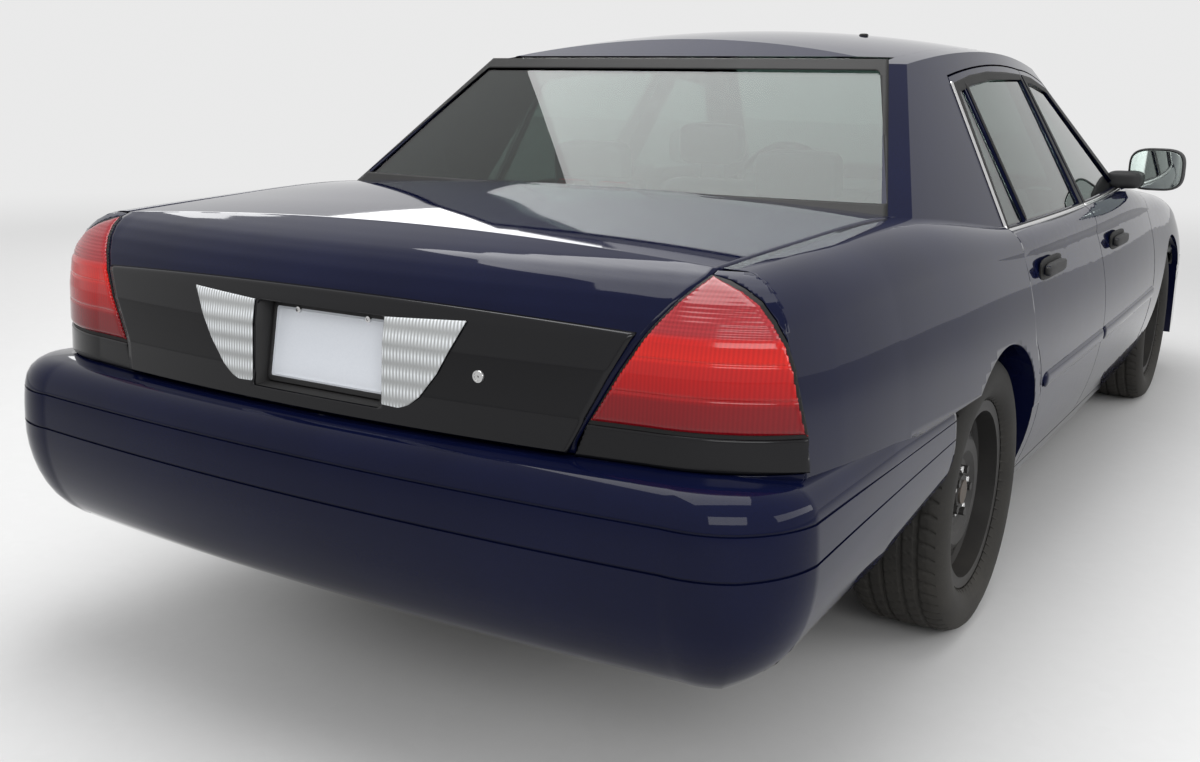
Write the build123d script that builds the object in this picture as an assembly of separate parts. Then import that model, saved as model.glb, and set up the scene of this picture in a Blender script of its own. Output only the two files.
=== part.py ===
from build123d import *
import math
import os

# Four-door patrol saloon on a perimeter frame, in millimetres.
# X points forward, Y to the car's left, Z up. The origin is under the middle of the car, on the ground.

# Wheels and axles
WHEELBASE = 2913
FRONT_AXLE_X = 1622
REAR_AXLE_X = FRONT_AXLE_X - WHEELBASE
FRONT_TRACK = 1600
REAR_TRACK = 1666
TYRE_R = 345
TYRE_WIDTH = 240
RIM_R = 216
RIM_WIDTH = 190
FLANGE_R = 234
DISC_T = 8
SPINDLE_R = 30
KINGPIN_Y = 740
ARCH_R = 378

# Clearances
GAP = 5
SEAM = 0.3
PIN_PLAY = 0.1

# Body panels
SKIN = 24
DOOR_DEPTH = 88
FRAME_DEPTH = 30
PILLAR_DEPTH = 72
ROOF_T = 40
FLOOR_Y = 780
FLOOR_Z = 300
GLASS_T = 6
GLASS_SET = 8
SILL_TOP = 296
BUMPER_TOP = 700
BELT_Z = 962

# Door cuts along the car
WING_CUT_X = 1034
B_CUT_X = -55
C_CUT_X = -1027

# Roof
ROOF_TOP = 1490
ROOF_PEAK_X = -400
ROOF_LONG_R = 6000
ROOF_CROSS_R = 3200

# Body sections: x, sill half width, sill z, widest half width, its z, shoulder half width, its z,
# deck half width, deck edge z, deck centre z
BODY = (
    (-2680, 840, 300, 905, 640, 880, 915, 800, 972, 990),
    (-2150, 880, 290, 958, 630, 915, 925, 800, 1000, 1030),
    (-1650, 885, 250, 978, 620, 930, 925, 815, 1008, 1046),
    (-900, 885, 235, 985, 620, 938, 900, 890, 968, 1000),
    (0, 885, 235, 984, 620, 934, 885, 888, 964, 990),
    (900, 880, 235, 974, 620, 924, 870, 862, 958, 990),
    (1300, 875, 240, 965, 620, 915, 850, 820, 925, 985),
    (1800, 860, 265, 950, 610, 905, 800, 790, 880, 940),
    (2250, 830, 290, 905, 590, 872, 730, 760, 815, 868),
    (2680, 740, 300, 810, 570, 790, 660, 690, 715, 760),
)

# Plan of the two ends: z, centre x, shoulder x, shoulder y, corner x, corner y
TAIL = ((200, -2655, -2610, 740, -2330, 1010), (1100, -2480, -2428, 770, -2170, 1010))
NOSE = ((200, 2620, 2560, 600, 2200, 990), (1100, 2540, 2470, 600, 2110, 990))

# Cabin outline at two heights, left half, front to rear
CABIN_LOW_Z = 940
CABIN_HIGH_Z = 1400
# name: (x, y) at the low height, (x, y) at the high height
CABIN = {
    "screen": ((1190, 0), (440, 0)),
    "screen_end": ((1000, 770), (350, 560)),
    "side_front": ((900, 850), (300, 600)),
    "side": ((-250, 905), (-380, 652)),
    "side_rear": ((-1690, 862), (-1130, 630)),
    "back_end": ((-1742, 821), (-1175, 600)),
    "back": ((-1795, 0), (-1205, 0)),
}
CABIN_MID_X = -300
CABIN_HALF_LENGTH = 1450
CABIN_HALF_WIDTH = 905

DIRECTION = {"x": (1, 0, 0), "y": (0, 1, 0), "z": (0, 0, 1)}


def place(axis, level, a, b):
    """The point at level along the axis, with a and b as its other two coordinates in order."""
    return {"x": (level, a, b), "y": (a, level, b), "z": (a, b, level)}[axis]


def wire_at(axis, level, start, moves):
    """A closed wire square to the axis. A move of one point is a line, of two points an arc."""
    edges = []
    here = start
    for move in moves:
        points = [place(axis, level, *p) for p in (here, *move)]
        if len(points) == 2:
            edges.append(Edge.make_line(*points))
        else:
            edges.append(Edge.make_three_point_arc(*points))
        here = move[-1]
    if here != start:
        edges.append(Edge.make_line(place(axis, level, *here), place(axis, level, *start)))
    return Wire(edges)


def prism(axis, low, high, start, *moves):
    """The outline, extruded along the axis from low to high."""
    face = Face(wire_at(axis, low, start, moves))
    return extrude(face, amount=high - low, dir=DIRECTION[axis])


def block(x, y, z):
    """A box from its three pairs of limits."""
    middle = ((x[0] + x[1]) / 2, (y[0] + y[1]) / 2, (z[0] + z[1]) / 2)
    return Pos(*middle) * Box(x[1] - x[0], y[1] - y[0], z[1] - z[0])


def rod(start, end, radius):
    """A round bar between two points."""
    a = Vector(*start)
    b = Vector(*end)
    return Solid.make_cylinder(radius, (b - a).length, Plane(origin=a, z_dir=b - a))


def mirrored(shape):
    """The same piece on the other side of the car."""
    return mirror(shape, about=Plane.XZ)


def one(shape):
    """The single solid of a cut, or the compound of its solids."""
    solids = shape.solids()
    return solids[0] if len(solids) == 1 else Compound(children=list(solids))


def biggest(shape):
    """The largest solid of a cut."""
    return max(shape.solids(), key=lambda s: s.volume)


def body_wire(row, side, top, bottom):
    """One cross-section of the lower body, with its side, top and bottom moved inwards."""
    x, sill_y, sill_z, wide_y, wide_z, shoulder_y, shoulder_z, deck_y, deck_z, crown_z = row
    sill = (sill_y - side, sill_z + bottom)
    wide = (wide_y - side, wide_z)
    shoulder = (shoulder_y - side, shoulder_z - max(top, 0))
    deck = (deck_y - side, deck_z - top)
    turn = ((shoulder[0] + deck[0]) / 2 + 0.16 * (deck[1] - shoulder[1]),
            (shoulder[1] + deck[1]) / 2 + 0.16 * (shoulder[0] - deck[0]))
    flip = [(-y, z) for y, z in (sill, wide, shoulder, turn, deck)]
    moves = ((sill,), (wide, shoulder), (turn, deck), ((0, crown_z - top), flip[4]),
             (flip[3], flip[2]), (flip[1], flip[0]))
    return wire_at("x", x, flip[0], moves)


def end_wire(tail, nose, inset):
    """The plan of both ends at one height."""
    z, tail_x, tail_sx, tail_sy, tail_cx, tail_cy = tail
    nose_x, nose_sx, nose_sy, nose_cx, nose_cy = nose[1:]
    tail_arc = (tail_sx - 0.42 * (tail_sx - tail_cx) + inset, tail_sy + 0.74 * (tail_cy - tail_sy))
    nose_arc = (nose_sx - 0.42 * (nose_sx - nose_cx) - inset, nose_sy + 0.74 * (nose_cy - nose_sy))
    moves = (
        ((tail_arc[0], -tail_arc[1]), (tail_sx + inset, -tail_sy)),
        ((tail_x + inset, 0), (tail_sx + inset, tail_sy)),
        (tail_arc, (tail_cx + inset, tail_cy)),
        ((nose_cx - inset, nose_cy),),
        (nose_arc, (nose_sx - inset, nose_sy)),
        ((nose_x - inset, 0), (nose_sx - inset, -nose_sy)),
        ((nose_arc[0], -nose_arc[1]), (nose_cx - inset, -nose_cy)),
    )
    return wire_at("z", z, (tail_cx + inset, -tail_cy), moves)


def body_form(side=0, top=0, bottom=0, ends=0):
    """The lower body as one closed form, or the same form moved inwards."""
    form = Solid.make_loft([body_wire(row, side, top, bottom) for row in BODY])
    ends_form = Solid.make_loft([end_wire(t, n, ends) for t, n in zip(TAIL, NOSE)], True)
    return form & ends_form


def cabin_point(name, z, inset, side=1):
    """A corner of the cabin outline at height z, moved inwards."""
    low, high = CABIN[name]
    share = (z - CABIN_LOW_Z) / (CABIN_HIGH_Z - CABIN_LOW_Z)
    x = low[0] + share * (high[0] - low[0])
    y = low[1] + share * (high[1] - low[1])
    x = CABIN_MID_X + (x - CABIN_MID_X) * (1 - inset / CABIN_HALF_LENGTH)
    return (x, side * y * (1 - inset / CABIN_HALF_WIDTH))


def cabin_wire(z, inset):
    """The closed cabin outline at height z."""
    left = {name: cabin_point(name, z, inset) for name in CABIN}
    right = {name: cabin_point(name, z, inset, -1) for name in CABIN}
    moves = (
        (left["screen"], left["screen_end"]),
        (left["side_front"],),
        (left["side"], left["side_rear"]),
        (left["back_end"],),
        (left["back"], right["back_end"]),
        (right["side_rear"],),
        (right["side"], right["side_front"]),
        (right["screen_end"],),
    )
    return wire_at("z", z, right["screen_end"], moves)


def cabin_form(inset=0, drop=0):
    """The cabin above the belt, under the crowned roof."""
    walls = Solid.make_loft([cabin_wire(z, inset) for z in (880, 1540)], True)
    top = ROOF_TOP - drop
    edge_y = 1000
    edge_z = top - edge_y ** 2 / (2 * ROOF_CROSS_R)
    section = Face(wire_at("x", ROOF_PEAK_X, (-edge_y, 700),
                           (((edge_y, 700),), ((edge_y, edge_z),), ((0, top), (-edge_y, edge_z)))))
    spin = Axis((ROOF_PEAK_X, 0, ROOF_TOP - ROOF_LONG_R), (0, 1, 0))
    sweep_angle = 34
    crown = revolve(section.rotate(spin, -sweep_angle / 2), axis=spin, revolution_arc=sweep_angle)
    return walls & crown


def wheel_cylinder(x, radius, y_in, y_out):
    """A cylinder about a wheel's axis."""
    return rod((x, y_in, TYRE_R), (x, y_out, TYRE_R), radius)


os.makedirs("parts", exist_ok=True)

body = body_form()
body_skin_inner = body_form(SKIN, SKIN, SKIN, SKIN)
body_door_inner = body_form(DOOR_DEPTH, -200, SKIN, 60)
cabin = cabin_form()
cabin_frame_inner = cabin_form(FRAME_DEPTH, FRAME_DEPTH)
cabin_inner = cabin_form(PILLAR_DEPTH, ROOF_T)
thin_shell = body - body_skin_inner
side_wall = body - body_door_inner

# Lower door outlines in side view
FRONT_EDGE_LEAN = 18
REAR_DOOR_ARC = ((-1010, 700), (-872, 500), (-838, SILL_TOP))
# How far each cut leans forward as it goes inwards, so that a door's rear edge swings clear
LEAN = {"front": (0, 0.16), "rear": (0.16, 0.2)}
UPPER_LEAN = {"front": (0, 0.36), "rear": (0.36, 0.4)}
# Outer half width of the car's side by height
SIDE_LINE = ((200, 885), (620, 985), (962, 888), (1400, 648))


def side_line(z):
    """The outer half width of the car's side at height z."""
    for (low_z, low_y), (high_z, high_y) in zip(SIDE_LINE, SIDE_LINE[1:]):
        if z <= high_z:
            break
    return low_y + (z - low_z) / (high_z - low_z) * (high_y - low_y)


def door_prism(start, moves, front_x, back_x, leans):
    """An outline in side view, cut through the wall, its edges leaning with the depth."""
    wires = []
    for y in (440, 1060):
        def moved(p):
            share = (front_x - p[0]) / (front_x - back_x)
            lean = leans[0] + share * (leans[1] - leans[0])
            return (p[0] + lean * (side_line(p[1]) - y), p[1])
        wires.append(wire_at("y", y, moved(start), [tuple(moved(p) for p in m) for m in moves]))
    return Solid.make_loft(wires, True)


def lower_zone(name, spare):
    """A lower door outline through the wall, its edges moved outwards by spare."""
    low = SILL_TOP - spare
    wide = 620
    if name == "front":
        front_x = WING_CUT_X + spare
        back_x = B_CUT_X - spare
        back = [((back_x, wide),), ((back_x, low),)]
    else:
        front_x = B_CUT_X - GAP + spare
        back_x = C_CUT_X - spare
        high, middle, end = [(x - spare, z) for x, z in REAR_DOOR_ARC]
        back = [(high,), (middle, (end[0], low))]
    foot_x = front_x - (FRONT_EDGE_LEAN if name == "front" else 0)
    moves = [((back_x, BELT_Z),)] + back + [((foot_x, low),), ((foot_x / 2 + front_x / 2, wide),)]
    return door_prism((front_x, BELT_Z), moves, front_x, back_x, LEAN[name])


# Upper door outlines in side view: belt front, top front, top middle, top back, belt back
UPPER = {
    "front": ((872, 925), (344, 1340), (120, 1372), (B_CUT_X, 1380), (B_CUT_X, 925)),
    "rear": ((B_CUT_X - GAP, 925), (B_CUT_X - GAP, 1380), (-520, 1384), (-905, 1350), (-1030, 925)),
}


def upper_zone(name, spare):
    """An upper door outline through the wall, its edges moved outwards by spare."""
    a, b, mid, c, d = UPPER[name]
    low = a[1]
    front = spare * (1.25 if name == "front" else 1)
    start = (a[0] + front, low)
    moves = (((b[0] + front, b[1] + spare),), ((mid[0], mid[1] + spare), (c[0] - spare, c[1] + spare)),
             ((d[0] - spare, low),))
    return door_prism(start, moves, a[0], d[0], UPPER_LEAN[name])


def window_zone(name, frame, low):
    """The window opening of a door, inside its frame."""
    a, b, mid, c, d = UPPER[name]
    slope = (a[0] - b[0]) / (b[1] - a[1])
    slope_back = (c[0] - d[0]) / (c[1] - d[1])
    start_x = a[0] - frame * 1.3 - slope * (low - a[1])
    top_front = (b[0] - frame * 0.9, b[1] - frame * 0.75)
    top_back = (c[0] + frame, c[1] - frame)
    back_x = d[0] + frame + slope_back * (low - d[1])
    moves = ((top_front,), ((mid[0], mid[1] - frame), top_back), ((back_x, low),))
    return prism("y", 400, 1100, (start_x, low), *moves)


# Doors: a lower box the whole depth of the door, and a window frame
WINDOW_FRAME = 38
WINDOW_LOW = BELT_Z + 12
DIVIDER_X = (-812, -790)
frame_band = cabin - cabin_frame_inner
glass_band = cabin_form(GLASS_SET, GLASS_SET) - cabin_form(GLASS_SET + GLASS_T * 1.3, GLASS_SET + GLASS_T)


def handle(x, z, y):
    """A pull handle that bridges its recess."""
    bar = block((x - 95, x + 95), (y + 8, y + 24), (z - 13, z + 13))
    bar = fillet(bar.edges().filter_by(Axis.X), 6)
    feet = [block((x + end - 11, x + end + 11), (y - 30, y + 10), (z - 11, z + 11)) for end in (-81, 81)]
    return bar + feet


# name: handle x, z and the body's half width there
HANDLES = {"front": (205, 838, 952), "rear": (-800, 858, 955)}
# side: how a left-hand piece is turned to it
SIDES = {"left": lambda piece: piece, "right": mirrored}
for name in ("front", "rear"):
    lower = side_wall & lower_zone(name, 0)
    upper = frame_band & upper_zone(name, 0) & block((-1200, 1000), (0, 1200), (BELT_Z - 32, 1500))
    opening = window_zone(name, WINDOW_FRAME, WINDOW_LOW)
    bar = block(DIVIDER_X, (400, 1100), (900, 1450))
    hole = opening - bar if name == "rear" else opening
    panel = biggest((lower + upper) - hole + handle(*HANDLES[name][:2], HANDLES[name][2]))
    glass = glass_band & window_zone(name, WINDOW_FRAME + SEAM, WINDOW_LOW + SEAM)
    if name == "rear":
        glass = glass - block((DIVIDER_X[0] - SEAM, DIVIDER_X[1] + SEAM), (400, 1100), (900, 1450))
    for side, turn in SIDES.items():
        export_step(one(turn(panel)), f"parts/door_{name}_{side}.step")
        export_step(one(turn(one(glass))), f"parts/glass_{name}_{side}.step")

# Door mirrors: a rounded shell on a foot at the window's front lower corner
MIRROR_AT = (815, 1018, 1035)
shell = block((MIRROR_AT[0] - 30, MIRROR_AT[0] + 62), (MIRROR_AT[1] - 112, MIRROR_AT[1] + 112),
              (MIRROR_AT[2] - 80, MIRROR_AT[2] + 80))
shell = fillet(shell.edges().filter_by(Axis.X), 36)
shell = fillet(shell.faces().sort_by(Axis.X)[-1].edges(), 26)
shell = shell - block((MIRROR_AT[0] - 31, MIRROR_AT[0] - 22), (MIRROR_AT[1] - 98, MIRROR_AT[1] + 98),
                      (MIRROR_AT[2] - 66, MIRROR_AT[2] + 66))
foot = block((742, 806), (800, 965), (BELT_Z + SEAM, BELT_Z + 52)) - cabin_form(-SEAM, 0)
shell = shell + biggest(foot)
for side, turn in SIDES.items():
    export_step(one(turn(shell)), f"parts/mirror_{side}.step")

# Zones that split the shell of the lower body
LID_FRONT_X = -1628
LID_BOW = 46
LID_EDGE_Y = (786, 758)
LID_TIP = (762, 1003)
LID_FOOT = (600, 757)
LID_LOW_Z = 705
LAMP_BACK_X = -2300
COWL_X = (900, 1160)
COWL_Y = 772
BONNET_EDGE_Y = (752, 690)
BONNET_FRONT_X = 2620
BONNET_LOW_Z = 752
FRONT_BUMPER_TOP = 560
LAMP_TOP = 748
GRILLE_Y = 412
LAMP_FRONT_X = 2290


def lid_zone(spare):
    """The boot lid: a plan outline over the deck and a rear-view outline down the tail."""
    front = (LID_FRONT_X + spare, LID_EDGE_Y[0] + spare)
    back_x = -2800
    slope = (LID_EDGE_Y[1] - LID_EDGE_Y[0]) / (-2455 - LID_FRONT_X)
    back_y = LID_EDGE_Y[0] + slope * (-2455 - LID_FRONT_X) + spare
    deck = prism("z", 940, 1200, (front[0], -front[1]),
                 ((front[0] - LID_BOW, 0), front), ((-2400, back_y),), ((back_x, back_y),),
                 ((back_x, -back_y),), ((-2400, -back_y),))
    deck = deck & block((-2800, 0), (-900, 900), (LID_TIP[1] - 40, 1200))
    rear = prism("x", -2800, -2380, (LID_TIP[0] + spare, LID_TIP[1] + 120),
                 ((LID_TIP[0] + spare, LID_TIP[1] - 6),), ((LID_FOOT[0] + spare, LID_FOOT[1]),),
                 ((LID_FOOT[0] + spare, LID_LOW_Z - spare),), ((-LID_FOOT[0] - spare, LID_LOW_Z - spare),),
                 ((-LID_FOOT[0] - spare, LID_FOOT[1]),), ((-LID_TIP[0] - spare, LID_TIP[1] - 6),),
                 ((-LID_TIP[0] - spare, LID_TIP[1] + 120),))
    return deck + rear


def tail_lamp_zone(spare):
    """The left tail lamp in rear view, beside the lid and round the corner."""
    outline = prism("x", -2800, LAMP_BACK_X + spare, (LID_FOOT[0] - 200, BUMPER_TOP + 42 - spare),
                    ((LID_TIP[0] - 60, LID_TIP[1] - 2 + spare),), ((LID_TIP[0] + 38, LID_TIP[1] - 14 + spare),),
                    ((870 + spare, 930 + spare), (990, 800)), ((990, BUMPER_TOP + 42 - spare),))
    return outline


def bonnet_zone(spare):
    """The bonnet in plan, above the grille and lamps."""
    rear = (COWL_X[1] + GAP - spare, BONNET_EDGE_Y[0] + spare)
    front = (BONNET_FRONT_X, BONNET_EDGE_Y[1] + spare)
    return prism("z", BONNET_LOW_Z - spare, 1200, (rear[0], -rear[1]), (rear,), (front,), ((front[0], -front[1]),))


shell_skin = thin_shell - block((-2700, 2700), (-800, 800), (0, 330))
left_half = block((-2800, 2800), (0, 1200), (0, 1600))
arch_rear = wheel_cylinder(REAR_AXLE_X, ARCH_R, 560, 1100)
arch_front = wheel_cylinder(FRONT_AXLE_X, ARCH_R, 560, 1100)
door_gaps = lower_zone("front", GAP) + lower_zone("rear", GAP)

# Boot lid and bonnet
lid = one(shell_skin & lid_zone(0))
export_step(biggest(lid), "parts/boot_lid.step")
bonnet = shell_skin & bonnet_zone(0)
export_step(biggest(bonnet), "parts/bonnet.step")

# Tail lamps fill the corners between the lid and the quarter panels
lamp = (shell_skin & tail_lamp_zone(0)) - lid_zone(GAP)
lamp = biggest(lamp & left_half)
export_step(Compound(children=[lamp, mirrored(lamp)]), "parts/tail_lamps.step")

# Headlamps and grille fill the nose under the bonnet's edge
nose_band = shell_skin & block((LAMP_FRONT_X, 2700), (-1000, 1000), (FRONT_BUMPER_TOP + SEAM, LAMP_TOP))
head = biggest(nose_band & block((LAMP_FRONT_X, 2700), (GRILLE_Y + SEAM, 1000), (500, 800)))
export_step(Compound(children=[head, mirrored(head)]), "parts/headlamps.step")
grille = nose_band & block((LAMP_FRONT_X, 2700), (-GRILLE_Y, GRILLE_Y), (500, 800))
GRILLE_ROWS = 5
GRILLE_COLUMNS = 4
GRILLE_RIM = 16
row_pitch = (LAMP_TOP - FRONT_BUMPER_TOP - 2 * GRILLE_RIM) / GRILLE_ROWS
column_pitch = (2 * GRILLE_Y - 2 * GRILLE_RIM) / GRILLE_COLUMNS
for row in range(GRILLE_ROWS):
    for column in range(GRILLE_COLUMNS):
        low_z = FRONT_BUMPER_TOP + GRILLE_RIM + row * row_pitch
        low_y = -GRILLE_Y + GRILLE_RIM + column * column_pitch
        grille = grille - block((2300, 2700), (low_y + 4, low_y + column_pitch - 4),
                                (low_z + 4, low_z + row_pitch - 4))
export_step(biggest(grille), "parts/grille.step")

# Bumpers: a band that follows the body's plan, with a shelf on top, cut round the wheel arches
# end: top z, bottom z, centre x, shoulder x, shoulder y, corner x, corner y, side y, end x, arch
BUMPERS = {
    "rear": (BUMPER_TOP, 318, -2692.5, -2640, 640, -2330, 946, 966, -1420, arch_rear),
    "front": (FRONT_BUMPER_TOP, 240, 2692.5, 2630, 560, 2300, 905, 952, 1820, arch_front),
}
BUMPER_T = 42
GROOVE_Z = (30, 76)


def bumper_plan(spec, inset, low, high):
    """The bumper's plan outline, moved inwards and given a height."""
    top, bottom, centre_x, shoulder_x, shoulder_y, corner_x, corner_y, side_y, end_x, arch = spec
    sign = 1 if centre_x > 0 else -1
    turn = (shoulder_x + 0.62 * (corner_x - shoulder_x) * 0.62 - sign * inset, corner_y - 78 - inset * 0.7)
    left = ((shoulder_x - sign * inset, shoulder_y), turn, (corner_x - sign * inset * 0.5, corner_y - inset),
            (end_x, side_y - inset))
    right = [(x, -y) for x, y in left]
    return prism("z", low, high, right[3], (right[2],), (right[1], right[0]),
                 ((centre_x - sign * inset, 0), left[0]), (left[1], left[2]), (left[3],))


for end, spec in BUMPERS.items():
    top, bottom = spec[:2]
    whole = bumper_plan(spec, 0, bottom, top)
    hollow = bumper_plan(spec, BUMPER_T, bottom - 1, top - 26)
    tail_space = body_form(-SEAM, -SEAM, -SEAM, -SEAM) & block((-3000, 3000), (-1200, 1200), (top - 120, top + 1))
    reach = (abs(spec[8]), 2800) if end == "front" else (-2800, spec[8])
    band = whole - hollow
    inner = bumper_plan(spec, BUMPER_T, top - 27, top + 1) & tail_space
    band = band - inner
    for drop in GROOVE_Z:
        groove = bumper_plan(spec, -2, top - drop - 3, top - drop + 3) - bumper_plan(
            spec, 5, top - drop - 4, top - drop + 4)
        band = band - groove
    band = band - wheel_cylinder(spec[9].center().X, ARCH_R + 6, -1200, 1200)
    export_step(biggest(band), f"parts/{end}_bumper.step")

# Front wings: the skin outside the bonnet, down to the sill and round the arch
bumper_spaces = block((1900, 2800), (-1200, 1200), (0, FRONT_BUMPER_TOP + SEAM)) + block(
    (-2800, -1400), (-1200, 1200), (0, BUMPER_TOP + SEAM))
wing = shell_skin & block((WING_CUT_X + 4, 2700), (0, 1100), (SILL_TOP - GAP + SEAM, 1200))
wing = wing - bonnet_zone(GAP) - arch_front - bumper_spaces - lower_zone("front", GAP)
wing = wing - block((LAMP_FRONT_X - SEAM, 2700), (0, 1100), (FRONT_BUMPER_TOP, LAMP_TOP + SEAM))
wing = wing - block(COWL_X, (-COWL_Y - SEAM, COWL_Y + SEAM), (800, 1200)) - cabin_form(-4, -4)
wing = biggest(wing)
export_step(Compound(children=[wing, mirrored(wing)]), "parts/front_wings.step")

# Body side frame: quarter skin, sill, door posts, window pillars and roof rail
cabin_flange = cabin_form(FRAME_DEPTH + GAP, FRAME_DEPTH + GAP)
post_outer = body_form(SKIN + 0.5, SKIN + 0.5, SKIN, 60)
b_post_outer = body_form(DOOR_DEPTH + GAP + 1, -200, SKIN, 60)
b_post_inner = body_form(DOOR_DEPTH + 60, -200, SKIN, 60)
ROOF_EDGE_Y = 590


def screen_zone(name, reveal, low, high, x):
    """A window's outline in end view, inside the pillars."""
    low_y = cabin_point(name, low, 0)[1] - reveal
    high_y = cabin_point(name, high, 0)[1] - reveal
    return prism("x", x[0], x[1], (-low_y, low), ((-high_y, high),), ((high_y, high),), ((low_y, low),))


SCREEN = ("screen_end", 16, 966, 1392, (0, 1400))
BACK = ("back_end", 14, 1036, 1396, (-2000, -900))
roof_zone = block((-1500, 700), (-ROOF_EDGE_Y, ROOF_EDGE_Y), (1340, 1600))
screens = screen_zone(*SCREEN) + screen_zone(*BACK)
quarter = (shell_skin & block((-2700, C_CUT_X + 200), (0, 1100), (0, 1200))) + (
    side_wall & block((C_CUT_X - 60, -780), (700, 1100), (SILL_TOP, BELT_Z)))
quarter = quarter - lower_zone("rear", GAP) - lid_zone(GAP) - tail_lamp_zone(SEAM) - arch_rear
quarter = quarter - bumper_spaces - cabin_inner - screens - upper_zone("rear", GAP)
sill = side_wall & block((-925, 1240), (FLOOR_Y + SEAM, 1100), (0, SILL_TOP - GAP))
hinge_post = block((WING_CUT_X - 20, 1130), (500, 1100), (SILL_TOP - GAP, BELT_Z - 10)) & post_outer
hinge_post = hinge_post - body_door_inner - lower_zone("front", GAP)
B_POST_X = (-112, 8)
B_SPLICE_Z = (890, 905)
B_FOOT_Z = (BELT_Z + GAP, BELT_Z + 45)
b_post = (block(B_POST_X, (500, 1100), (240, B_SPLICE_Z[1])) & b_post_outer) - b_post_inner
b_foot = block(B_POST_X, (500, 1100), (B_SPLICE_Z[0], B_FOOT_Z[1])) & cabin_form(DOOR_DEPTH + 14, 0)
b_foot = b_foot + (block(B_POST_X, (500, 1100), B_FOOT_Z) & cabin_flange)
b_foot = b_foot - cabin_form(DOOR_DEPTH + 72, 0)
walls = (cabin - cabin_inner) & block((-2000, 1300), (0, 1100), (BELT_Z - 30, 1600))
screen_feet = [screen_zone(name, reveal, BELT_Z - 36, high, x) for name, reveal, low, high, x in (SCREEN, BACK)]
walls = walls - screen_feet[0] - screen_feet[1] - roof_zone - lid_zone(GAP)
for name in ("front", "rear"):
    walls = walls - (upper_zone(name, GAP) - cabin_flange) - upper_zone(name, -20)
    walls = walls - (lower_zone(name, GAP) - b_post_outer)
b_pillar = (cabin_flange - cabin_inner) & block(B_POST_X, (ROOF_EDGE_Y, 1100), (B_FOOT_Z[0], 1392))
side_frame = quarter + sill + hinge_post + b_post + b_foot + walls + b_pillar
side_frame = side_frame - arch_front - arch_rear

# Hinge leaves: on the front post ahead of the front door, on the centre post inside the rear door
HINGE_Z = (440, 790)
HINGE_HEIGHT = 56
for low_z in HINGE_Z:
    high_z = low_z + HINGE_HEIGHT
    edge_x = WING_CUT_X - FRONT_EDGE_LEAN * (BELT_Z - high_z) / (BELT_Z - SILL_TOP)
    leaf = block((edge_x + SEAM, WING_CUT_X + 30), (side_line(high_z) - 78, side_line(high_z) - 38), (low_z, high_z))
    side_frame = side_frame + leaf
print("side frame solids", [round(solid.volume) for solid in side_frame.solids()])
for side, turn in SIDES.items():
    export_step(one(turn(biggest(side_frame))), f"parts/side_frame_{side}.step")

# Roof, windscreen and rear window
roof = (cabin - cabin_inner) & block((-1500, 700), (SEAM - ROOF_EDGE_Y, ROOF_EDGE_Y - SEAM), (1340, 1600))
export_step(biggest(roof - screens), "parts/roof_panel.step")
glass_in = cabin_form(GLASS_SET + 14, GLASS_SET + GLASS_T)
screen_band = cabin_form(GLASS_SET, GLASS_SET) - glass_in
for node, (name, reveal, low, high, x) in (("windscreen", SCREEN), ("rear_window", BACK)):
    pane = screen_band & screen_zone(name, reveal + SEAM, low + SEAM, high - SEAM, x)
    export_step(biggest(pane), f"parts/{node}.step")

# Perimeter frame: boxed rails, crossmembers, front arms with ball pins, and jack pads
RAIL_LOW_Z = 215
RAIL_MID_Y = (608, 678)
RAIL_END_Y = (395, 465)
RAIL_REAR_Y = (465, 535)
RAIL_FRONT_Z = (330, 430)
BOOT_FLOOR_Z = 508
ARM_Z = (205, 225)
UPPER_ARM_Z = (500, 515)
BALL_R = 14
PAD_SIZE = 80
PAD_DROP = 8
# x, inner and outer y, low and high z of each rail section, front to rear
RAIL = (
    (2480, RAIL_END_Y, RAIL_FRONT_Z),
    (1360, RAIL_END_Y, RAIL_FRONT_Z),
    (1165, RAIL_MID_Y, (RAIL_LOW_Z, FLOOR_Z - SEAM)),
    (-880, RAIL_MID_Y, (RAIL_LOW_Z, FLOOR_Z - SEAM)),
    (-1040, RAIL_REAR_Y, (425, BOOT_FLOOR_Z - SEAM)),
    (-2480, RAIL_REAR_Y, (425, BOOT_FLOOR_Z - SEAM)),
)
rail = None
for (x0, y0, z0), (x1, y1, z1) in zip(RAIL, RAIL[1:]):
    ends = [wire_at("x", x, (y[0], z[0]), (((y[1], z[0]),), ((y[1], z[1]),), ((y[0], z[1]),)))
            for x, y, z in ((x0, y0, z0), (x1, y1, z1))]
    piece = Solid.make_loft(ends, True)
    rail = piece if rail is None else rail + piece
frame = rail + mirrored(rail)
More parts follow.
